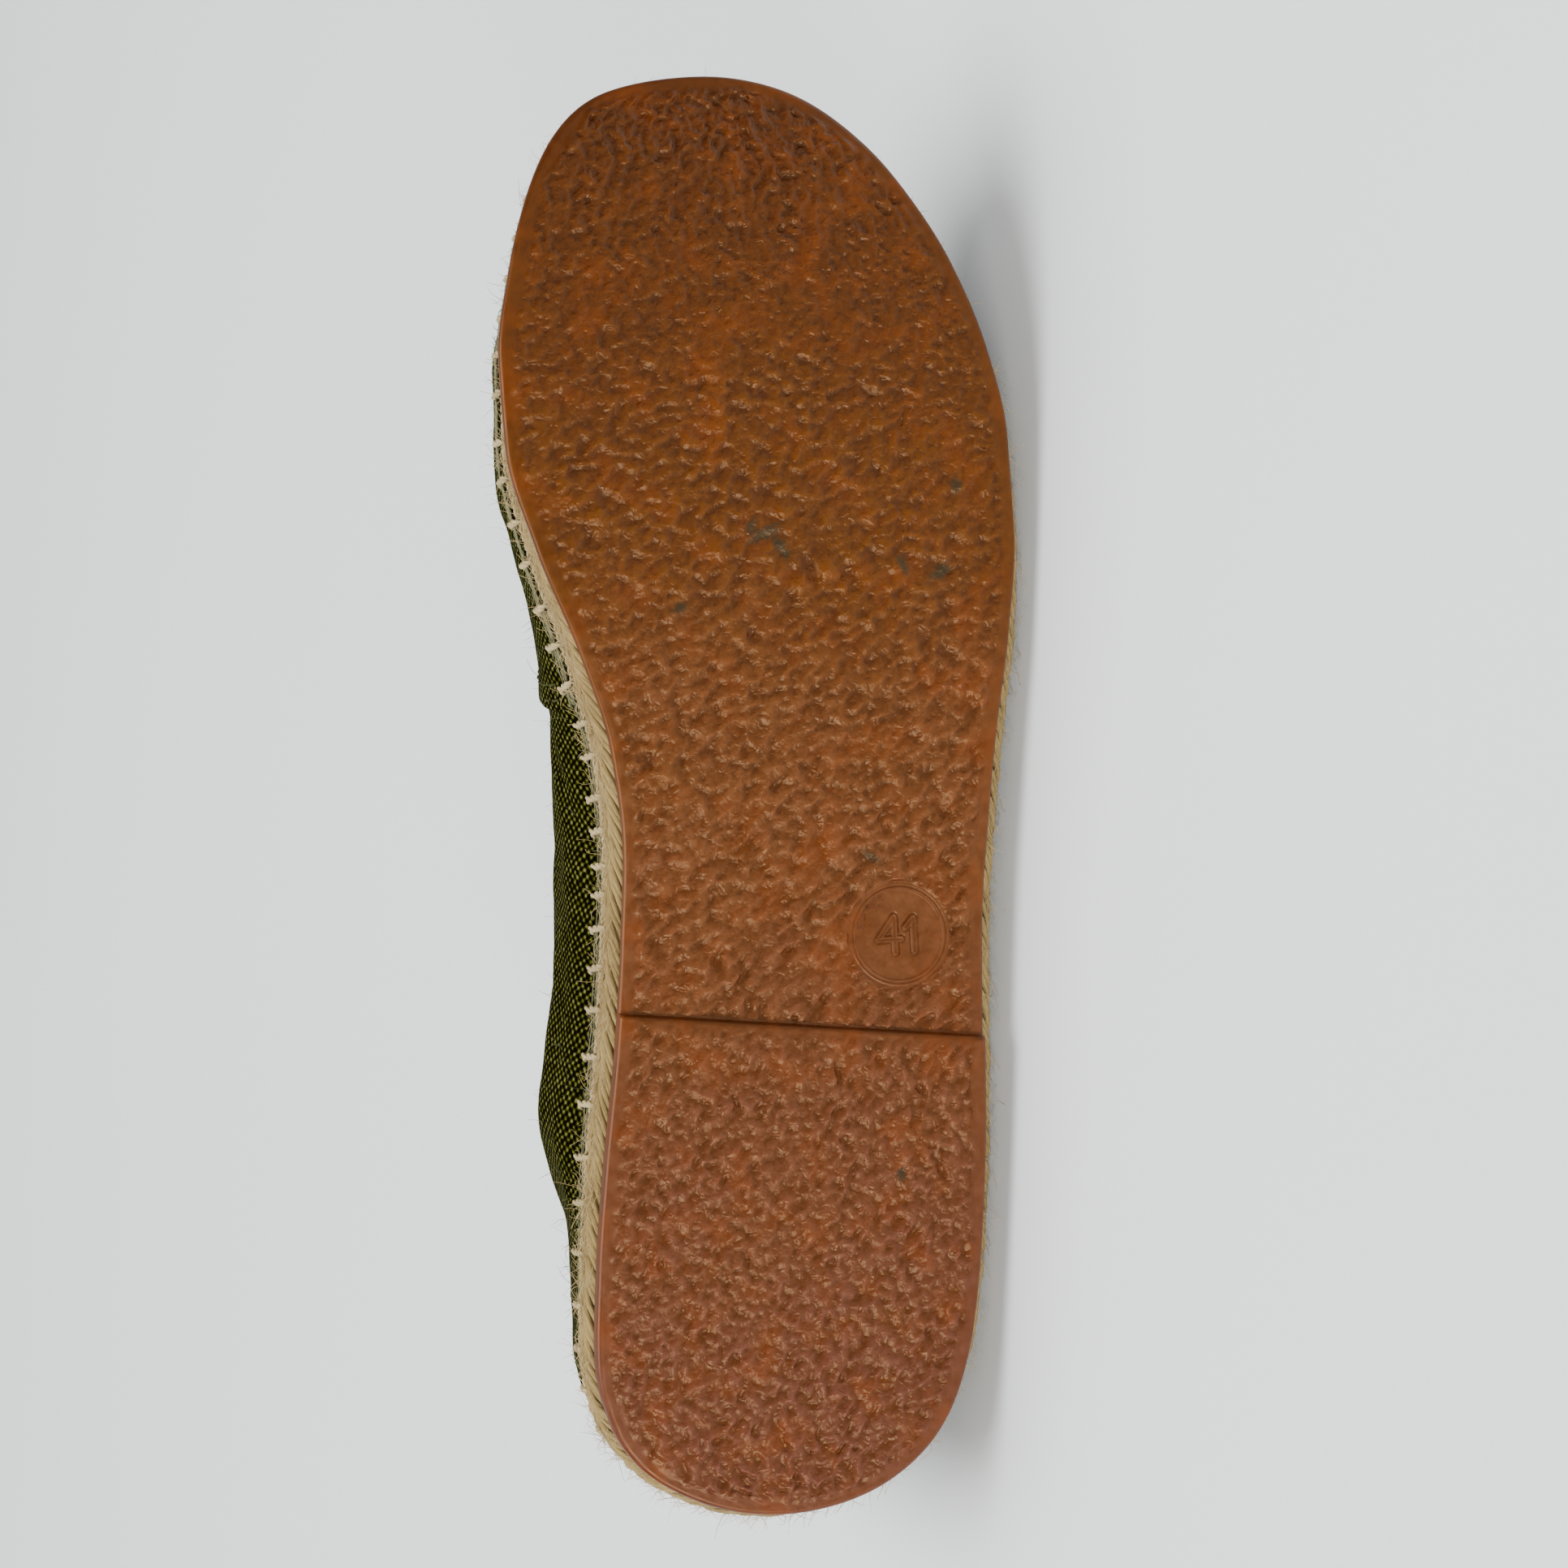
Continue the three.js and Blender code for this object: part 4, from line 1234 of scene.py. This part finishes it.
def resampled(flat, rows, columns):
    """A grid of patterns read at finer places, given as row and column numbers of the coarse one."""
    i = np.clip(np.floor(rows).astype(int), 0, flat.shape[0] - 2)
    j = np.clip(np.floor(columns).astype(int), 0, flat.shape[1] - 2)
    a, b = (rows - i)[..., None], (columns - j)[..., None]
    top = flat[i, j] * (1 - a) + flat[i + 1, j] * a
    low = flat[i, j + 1] * (1 - a) + flat[i + 1, j + 1] * a
    return top * (1 - b) + low * b


def cloth_pattern(angles, start, stop):
    """Flat places of the upper's points for the panel that runs between two angles."""
    coarse_rows = 61
    coarse = upper_form(np.linspace(start, stop, coarse_rows))[:, ::PATTERN_EVERY]
    flat = flattened(coarse)
    row = (angles - start) / (stop - start) * (coarse_rows - 1)
    levels = EDGE_LEVELS + WALL_LEVELS + 1
    column = np.arange(levels) / PATTERN_EVERY
    return resampled(flat, np.repeat(row[:, None], levels, 1), np.repeat(column[None], len(row), 0))


def crease_depths(angles, form):
    """How far each crease and stitch pulls the canvas in or pushes it out."""
    lengths = length_at(angles)
    up = lengths_along(form)
    total = up[:, -1:]
    moved = np.zeros(up.shape)
    for side, at, share, turn, run, width, depth in zip(*CREASES.values()):
        dx = way_round(lengths, length_at(-side * swing(at)))[:, None] * -side
        dy = up - share * total
        c, s = math.cos(math.radians(turn)), math.sin(math.radians(turn))
        along = (dx * c + dy * s) / run
        across = (dy * c - dx * s) / width
        moved += depth * np.exp(-(along**2) - across**2)
    for spot in stitch_lengths():
        near = bell(way_round(lengths, spot), 1.7)[:, None]
        moved -= STITCH_PULL * near * bell(up - STITCH_REACH, 2.2)
    spots = lengths[:, None] + 0 * up
    swag = ripple(spots, up, 9.0, 51) * 0.3 + ripple(spots, up, 4.0, 52) * 0.1
    free = ease(up, 0.0, 5.0) * ease(total - up, 0.0, 5.0)
    return moved * ease(total - up, 0.0, 6.0) + swag * free


# Across each seam the quarter runs on under the vamp and the rows turn back to the vamp's free edge:
# how far past the seam each row is, and how far its outer face stands out.
FOLD = table(
    "past out",
    (LAP, 0.12),
    (0.5, 0.14),
    (0, 0.22),
    (-0.12, 0.62),
    (0, 0.86),
    (0.25, VAMP_LAYER),
)
INNER_EVENING = 7  # rows on either side that the inner face's spacing is evened over


def open_angle(length):
    """Angles at lengths that run on past one turn."""
    return angle_at(length) + 2 * math.pi * np.floor(length / ROUND_LENGTH)


def upper_rows():
    """Rows of the upper all round, from the quarter's hidden edge under the vamp on the lateral side:
    lengths round the outline of the outer and the inner face, how far the outer one stands out, and the
    number of the quarter's rows."""
    medial = length_at(swing(MEDIAL_SEAM)) + ROUND_LENGTH
    first = length_at(-swing(LATERAL_SEAM))
    lateral = first + ROUND_LENGTH
    quarter = np.linspace(first - LAP, medial + LAP, int((medial - first) / RIB_STEP))
    vamp = np.linspace(medial + 0.3, lateral - 0.3, int((lateral - medial) / RIB_STEP))[1:-1]
    past, out = FOLD["past"], FOLD["out"]
    outer = np.concatenate([quarter, medial + past, vamp, lateral - past[::-1]])
    proud = np.concatenate([np.zeros(len(quarter)), out, np.full(len(vamp), VAMP_LAYER), out[::-1]])
    twice = np.maximum.accumulate(np.concatenate([outer, outer + ROUND_LENGTH]))
    ahead = twice[len(outer):] - ROUND_LENGTH
    before, after = ahead[-INNER_EVENING:] - ROUND_LENGTH, ahead[:INNER_EVENING] + ROUND_LENGTH
    wrapped = np.concatenate([before, ahead, after])
    window = 2 * INNER_EVENING + 1
    inner = np.convolve(wrapped, np.full(window, 1 / window), "valid")
    return outer, inner, proud, len(quarter)


CLEAN_HEIGHT = 20  # above the edge, where the cloth is not frayed


def canvas_upper(material):
    """The hollow upper: its outer face up to the topline, the folded hem and its inner face down again."""
    outer_lengths, inner_lengths, proud, quarter_count = upper_rows()
    outer, inner = open_angle(outer_lengths), open_angle(inner_lengths)
    form, inner_form = upper_form(outer), upper_form(inner)
    normals, inner_normals = form_normals(outer), form_normals(inner)
    up, inner_up = lengths_along(form), lengths_along(inner_form)
    levels = form.shape[1]
    share_up = up / up[:, -1:]
    seam_away = np.minimum(
        np.abs(length_at(outer) - length_at(swing(MEDIAL_SEAM))),
        np.abs(length_at(outer) - length_at(-swing(LATERAL_SEAM))),
    )[:, None]
    gape = VAMP_LIFT * bell(seam_away, 5) * ease(share_up, 0.1, 0.3) * (1 - ease(share_up, 0.75, 1))
    gape = gape * (proud > 0.3)[:, None]
    level = 0 * outer
    fray = 0.35 * ripple(outer_lengths, level, 1.1, 61) + 0.3 * ripple(outer_lengths, level, 3.7, 62)
    face = form + normals * (crease_depths(outer, form) + gape + proud[:, None])[..., None]
    face[:, 0, 2] += fray
    face[:, 1, 2] += fray * 0.6
    cloth = panel_patterns(outer, quarter_count)
    rings = list(face.swapaxes(0, 1))
    pattern = list(cloth.swapaxes(0, 1))
    height = list(up.T)
    hem = CANVAS_WALL + HEM_LAYER
    inner_top = inner_form[:, -1] - inner_normals[:, -1] * hem
    rise = unit(form[:, -1] - form[:, -3])
    for turn in (0.3, 0.5, 0.7):
        over = math.sin(turn * math.pi) * hem * 0.4
        rings.append(face[:, -1] * (1 - turn) + inner_top * turn + rise * over)
        pattern.append(cloth[:, -1] + [[0.0, turn * hem]])
        height.append(up[:, -1])
    down = inner_up[:, -1:] - inner_up
    thick = CANVAS_WALL + HEM_LAYER * (1 - ease(down, HEM_DEPTH - 0.4, HEM_DEPTH + 0.4))
    inner_face = inner_form + inner_normals * (crease_depths(inner, inner_form) - thick)[..., None]
    for k in range(levels - 1, -1, -2):
        rings.append(inner_face[:, k])
        pattern.append(cloth[:, k])
        height.append(np.full(len(outer), CLEAN_HEIGHT))
    points = np.stack(rings)
    layer = np.dstack([np.stack(pattern), np.stack(height)])
    faces = [grid_faces(len(rings), len(outer), close_rows=True, close_columns=True)]
    return build("canvas_upper", points, faces, material, {"cloth": layer}, ["upper"])


def form_normals(angles):
    """Normals of the outer face, read from evenly spaced ribs."""
    count = 720
    form = grid_normals(upper_form(np.linspace(0, 2 * math.pi, count, endpoint=False)))
    spot = np.mod(angles, 2 * math.pi) / (2 * math.pi) * count
    i = np.floor(spot).astype(int) % count
    share = (spot - np.floor(spot))[:, None, None]
    return unit(form[i] * (1 - share) + form[(i + 1) % count] * share)


def panel_patterns(outer, quarter_count):
    """Flat places of the cloth: the quarter's own, then the vamp's own."""
    quarter, vamp = outer[:quarter_count], outer[quarter_count:]
    return np.concatenate([
        cloth_pattern(quarter, quarter[0], quarter[-1]),
        cloth_pattern(vamp, vamp.min(), vamp.max()),
    ])


# Stitches and loose fibres


def canvas_point(lengths, height, lift):
    """Points on the canvas's outer face at a height up from its edge, lifted off it."""
    lengths = np.asarray(lengths, float)
    shape = lengths.shape
    angles = angle_at(lengths.ravel())
    form = upper_form(angles)
    up = lengths_along(form)
    height = np.broadcast_to(height, shape).ravel()
    lift = np.broadcast_to(lift, shape).ravel()
    vamp = (angles > swing(MEDIAL_SEAM)) & (angles < 2 * math.pi - swing(LATERAL_SEAM))
    spot = np.array([np.interp(h, row, np.arange(len(row))) for h, row in zip(height, up)])
    i = np.clip(np.floor(spot).astype(int), 0, form.shape[1] - 2)
    share = (spot - i)[:, None]
    n = np.arange(len(angles))
    point = form[n, i] * (1 - share) + form[n, i + 1] * share
    beside = upper_form(angles + 0.004)
    run = beside[n, i] - form[n, i]
    normal = unit(np.cross(run, form[n, i + 1] - form[n, i]))
    point[:, 2] += np.minimum(height, 0)
    moved = point + normal * (lift + vamp * VAMP_LAYER)[:, None]
    return moved.reshape(*shape, 3), normal.reshape(*shape, 3)


def plied(paths, facing, ply_radius, twist_length, plies=2):
    """Paths of the plies of a twisted thread, and the way each faces."""
    along = unit(np.gradient(paths, axis=1))
    across = unit(np.cross(along, facing))
    out = np.cross(across, along)
    length = lengths_along(paths)
    found = []
    for ply in range(plies):
        turn = (length / twist_length + ply / plies) * 2 * math.pi
        aside = out * np.cos(turn)[..., None] + across * np.sin(turn)[..., None]
        found.append(paths + 0.85 * ply_radius * aside)
    return np.concatenate(found), np.concatenate([facing] * plies)


PLY_RADIUS = 0.4


def blanket_stitches(material):
    """Stitches of twine that hold the canvas edge to the rope."""
    rng = np.random.default_rng(71)
    spots = stitch_lengths()
    count = len(spots)
    t = np.linspace(0, 1, 18)
    lean = rng.normal(0, 0.35, count) - 0.5
    reach = STITCH_REACH * (1 + rng.normal(0, 0.1, count))
    lengths = spots[:, None] + lean[:, None] * (t - 0.4)[None] * 1.2
    height = -2.3 + (reach[:, None] + 2.3) * ease(t, 0.05, 0.95)[None]
    hidden = ease(drawn_in(angle_at(spots)), 0.6, 2.0)[:, None]
    arc = 0.9 - 2.4 * np.abs(2 * t - 1) ** 5
    paths, normals = canvas_point(lengths, height, arc[None] - 0.6 * hidden)
    curl = 0.9 * ease(t, 0.78, 1.0)
    paths[..., 0] -= curl[None] * rng.uniform(0.3, 1.0, count)[:, None]
    plies, facing = plied(paths, normals, PLY_RADIUS, 4.2)
    return build_tubes("edge_stitches", plies, facing, PLY_RADIUS, PLY_RADIUS, 8, material)


def running_thread(material):
    """The thread that links the blanket stitches along the rope, just under the canvas edge."""
    spots = np.sort(stitch_lengths())
    steps = 1500
    lengths = np.linspace(0, ROUND_LENGTH, steps, endpoint=False)
    nearest = np.abs(way_round(lengths[:, None], spots[None])).min(1)
    up = 0.66 - 0.025 * np.cos(nearest / STITCH_PITCH * 2 * math.pi)
    lift = 0.25 - 0.5 * ease(np.sin(angle_at(lengths)), -0.5, 0.5)
    path = rope_point(lengths, up, lift)[None]
    path = np.concatenate([path, path[:, :1] + 1e-4], axis=1)
    facing = np.concatenate([outline_normal(angle_at(lengths)), np.zeros((steps, 1))], axis=1)
    facing = np.concatenate([facing, facing[:1]])[None]
    radius = 0.3
    plies, facing = plied(path, facing, radius, 3.4)
    return build_tubes("running_thread", plies, facing, radius, radius, 6, material)


def sewn_rows(material):
    """Short stitches of olive thread: under the topline, and two rows in front of the vamp's edge."""
    dash, space, radius = 3.0, 1.1, 0.27
    t = np.linspace(0, 1, 6)
    paths, facings = [], []

    def lay(lengths, height):
        arc = radius * 0.9 - 0.75 * np.abs(2 * t - 1) ** 4
        path, normal = canvas_point(lengths, height, arc[None] + 0 * lengths)
        paths.append(path)
        facings.append(normal)

    topline = stations(dash + space)
    angles = angle_at(topline)
    total = lengths_along(upper_form(angles))[:, -1]
    scale = 1 / np.maximum(topline_speed(angles), 0.05)
    top_run = topline[:, None] + dash * scale[:, None] * (t - 0.5)
    lay(top_run, (total - HEM_DEPTH + 1.5)[:, None] + 0 * top_run)
    for seam, way in ((swing(MEDIAL_SEAM), 1), (-swing(LATERAL_SEAM), -1)):
        for away in (1.9, 5.0):
            length = length_at(seam) + way * away
            full = float(lengths_along(upper_form(angle_at(np.array([length]))))[0, -1])
            starts = np.arange(6, full - 3, dash + space)
            heights = starts[:, None] + dash * t[None]
            lay(np.full(heights.shape, length), heights)
    paths, facings = np.concatenate(paths), np.concatenate(facings)
    return build_tubes("sewn_rows", paths, facings, radius, radius, 6, material)


def topline_speed(angles):
    """Millimetres along the topline for each millimetre along the sole's outline."""
    step = 0.01
    ahead, behind = rib_ends(angles + step)[3], rib_ends(angles - step)[3]
    foot = outline(angles + step) - outline(angles - step)
    return np.linalg.norm(ahead - behind, axis=1) / np.linalg.norm(foot, axis=1)


def stations(pitch):
    """Lengths round the sole whose ribs end evenly spaced along the topline."""
    lengths = np.linspace(0, ROUND_LENGTH, 1200)
    speed = topline_speed(angle_at(lengths))
    run = np.concatenate([[0], np.cumsum((speed[1:] + speed[:-1]) / 2 * np.diff(lengths))])
    count = int(run[-1] / pitch)
    return np.interp(np.arange(count) * run[-1] / count, run, lengths)


def fibres(name, starts, directions, lengths, radius, bend, seed, material):
    """Loose fibres: thin bent tubes that start at points and run off in directions."""
    rng = np.random.default_rng(seed)
    count = len(starts)
    t = np.linspace(0, 1, 7)[None, :, None]
    side = unit(np.cross(directions, rng.normal(size=(count, 3))))
    other = unit(np.cross(directions, side))
    curve = rng.normal(0, bend, (count, 1, 1)) * t**2 * side[:, None]
    swing_size = rng.normal(0, bend * 0.5, (count, 1, 1))
    wiggle = swing_size * np.sin(t * rng.uniform(2, 6, (count, 1, 1))) * other[:, None]
    paths = starts[:, None] + lengths[:, None, None] * (directions[:, None] * t + curve + wiggle)
    taper = radius * (1 - 0.6 * t[0, :, 0])[None] * rng.uniform(0.6, 1.3, (count, 1))
    return build_tubes(name, paths, side[:, None], taper, taper, 4, material)


def jute_fuzz(material):
    """Jute fibres that stand off the rope and lean along it."""
    rng = np.random.default_rng(81)
    count = 2400
    spots = rng.uniform(0, ROUND_LENGTH, count)
    up = rng.uniform(0.05, 0.68, count)
    starts = rope_point(spots, up, np.full(count, -0.25))
    run = unit(rope_point(spots + 1, up, np.full(count, 0.0)) - starts)
    out = np.column_stack([outline_normal(angle_at(spots)), np.zeros(count)])
    lean = rng.choice([-1, 1], count)[:, None] * run
    stand = out * rng.uniform(0.05, 0.75, count)[:, None]
    directions = unit(lean + stand + rng.normal(0, 0.25, (count, 3)))
    lengths = rng.uniform(1.5, 5.5, count)
    return fibres("jute_fuzz", starts, directions, lengths, 0.065, 0.28, 82, material)


# Loose yarns along the raw edge: height up the canvas, how far they stray from it, and radius.
EDGE_YARNS = table(
    "height stray radius",
    (0.1, 0.35, 0.17),
    (0.65, 0.45, 0.15),
    (1.3, 0.45, 0.14),
    (2.1, 0.35, 0.13),
)


def edge_yarns(material):
    """The cross yarns that have slipped out of the weave and run along the raw edge."""
    steps = 1100
    lengths = np.linspace(0, ROUND_LENGTH, steps)
    paths, facings = [], []
    for i, (height, stray) in enumerate(zip(EDGE_YARNS["height"], EDGE_YARNS["stray"])):
        own = 0 * lengths + 9 * i
        wave = stray * (ripple(lengths, own, 4.5, 101) + 0.5 * ripple(lengths, own, 1.6, 102))
        lift = 0.22 + 0.16 * ripple(lengths, own, 3.1, 103)
        path, normal = canvas_point(lengths, height + wave, lift)
        paths.append(path)
        facings.append(normal)
    paths, facings = np.array(paths), np.array(facings)
    radius = EDGE_YARNS["radius"][:, None]
    return build_tubes("edge_yarns", paths, facings, radius, radius, 5, material)


def edge_fray(material):
    """Short loose fibres in the raw edge of the canvas between the stitches."""
    rng = np.random.default_rng(91)
    count = 1500
    spots = rng.uniform(0, ROUND_LENGTH, count)
    height = rng.uniform(-0.4, 2.6, count)
    starts, normals = canvas_point(spots, height, np.full(count, 0.15))
    run = unit(canvas_point(spots + 1, height, np.full(count, 0.15))[0] - starts)
    rise = np.cross(run, normals)
    turn = rng.normal(0, 0.6, count)[:, None] + rng.choice([0, math.pi], count)[:, None]
    flat = run * np.cos(turn) - rise * np.sin(turn)
    directions = unit(flat + normals * rng.uniform(0.0, 0.3, count)[:, None])
    lengths = rng.uniform(0.8, 2.6, count)
    return fibres("edge_fray", starts, directions, lengths, 0.08, 0.3, 92, material)


def canvas_hairs(material):
    """Fine hairs that stand off the canvas."""
    rng = np.random.default_rng(95)
    count = 520
    spots = rng.uniform(0, ROUND_LENGTH, count)
    height = rng.uniform(3, 34, count)
    starts, normals = canvas_point(spots, height, np.zeros(count))
    directions = unit(normals * 0.55 + rng.normal(0, 0.6, (count, 3)))
    lengths = rng.uniform(1.2, 4.2, count)
    return fibres("canvas_hairs", starts, directions, lengths, 0.045, 0.35, 96, material)


# Floor, camera and light

CAMERA_REACH = 650
CAMERA_TILT = math.radians(14.5)
CAMERA_ROLL = math.radians(3.3)
CAMERA_AIM = np.array([138.3, 5.6, 0.0])
CAMERA_LENS = 78.6
CAMERA_SENSOR = 36
FLOOR_SIZE = 6.0  # metres
SKY = (0.95, 0.97, 1.0, 1)
SKY_STRENGTH = 0.42
LIGHTS_AIM = (0, 0, 0.05)

# Lights: name, place in metres, width in metres and watts
LIGHTS = (
    ("key", (-1.15, -1.6, 0.6), 0.8, 42),
    ("fill", (0.9, -1.6, 0.9), 1.4, 7),
    ("overhead", (-0.1, 0.2, 1.9), 1.8, 62),
)


def floor():
    bpy.ops.mesh.primitive_plane_add(size=FLOOR_SIZE, location=(0, 0, 0))
    plane = bpy.context.active_object
    plane.name = "floor"
    look = Look("pale_floor")
    spot = look.add("TexCoord").outputs["Object"]
    cloud = look.noise(spot, 3.0, 4.0)
    colour = look.mix(cloud, (0.8, 0.825, 0.825), (0.86, 0.88, 0.88))
    plane.data.materials.append(look.finish(Base_Color=colour, Roughness=0.8, Specular_IOR_Level=0.2))


def camera():
    """Looks at the tread from a little towards the medial side, and rolled, as the photo does."""
    back = np.array([0, -math.sin(CAMERA_TILT), -math.cos(CAMERA_TILT)])
    spot = CAMERA_AIM + CAMERA_REACH * back
    up = np.array([math.cos(CAMERA_ROLL), math.sin(CAMERA_ROLL), 0])
    right = unit(np.cross(up, back))
    up = np.cross(back, right)
    data = bpy.data.cameras.new("camera")
    data.lens = CAMERA_LENS
    data.sensor_width = CAMERA_SENSOR
    data.clip_start = 0.01
    data.clip_end = 20
    eye = add_object("camera", data)
    axes = np.array([turned(right), turned(up), turned(back)]).T
    matrix = Matrix(axes.tolist()).to_4x4()
    matrix.translation = Vector(place(spot))
    eye.matrix_world = matrix
    bpy.context.scene.camera = eye


def area_light(name, spot, size, power):
    data = bpy.data.lights.new(name, "AREA")
    data.shape = "DISK"
    data.size = size
    data.energy = power
    lamp = add_object(name, data)
    lamp.location = spot
    lamp.rotation_euler = (Vector(LIGHTS_AIM) - Vector(spot)).to_track_quat("-Z", "Y").to_euler()


def lights():
    world = bpy.data.worlds.new("studio")
    world.use_nodes = True
    sky = world.node_tree.nodes["Background"]
    sky.inputs["Color"].default_value = SKY
    sky.inputs["Strength"].default_value = SKY_STRENGTH
    bpy.context.scene.world = world
    for light in LIGHTS:
        area_light(*light)


def main():
    camera()
    floor()
    lights()
    rubber = rubber_look()
    jute = strand_look("jute_strands", (0.12, 0.07, 0.02), (0.43, 0.3, 0.11), 0.16, 0.35)
    twine = strand_look("cream_twine", (0.32, 0.235, 0.1), (0.62, 0.5, 0.27), 0.9, 0.14)
    frayed = plain_look("frayed_threads", (0.19, 0.18, 0.09))
    tread(rubber)
    medallion(rubber)
    rope_core(core_look())
    braid(jute)
    sock(insole_look())
    canvas_upper(canvas_look())
    blanket_stitches(twine)
    running_thread(twine)
    sewn_rows(plain_look("olive_thread", (0.04, 0.042, 0.008)))
    jute_fuzz(plain_look("jute_hair", (0.5, 0.37, 0.18)))
    edge_yarns(frayed)
    edge_fray(frayed)
    canvas_hairs(plain_look("olive_hair", (0.12, 0.13, 0.05)))


main()
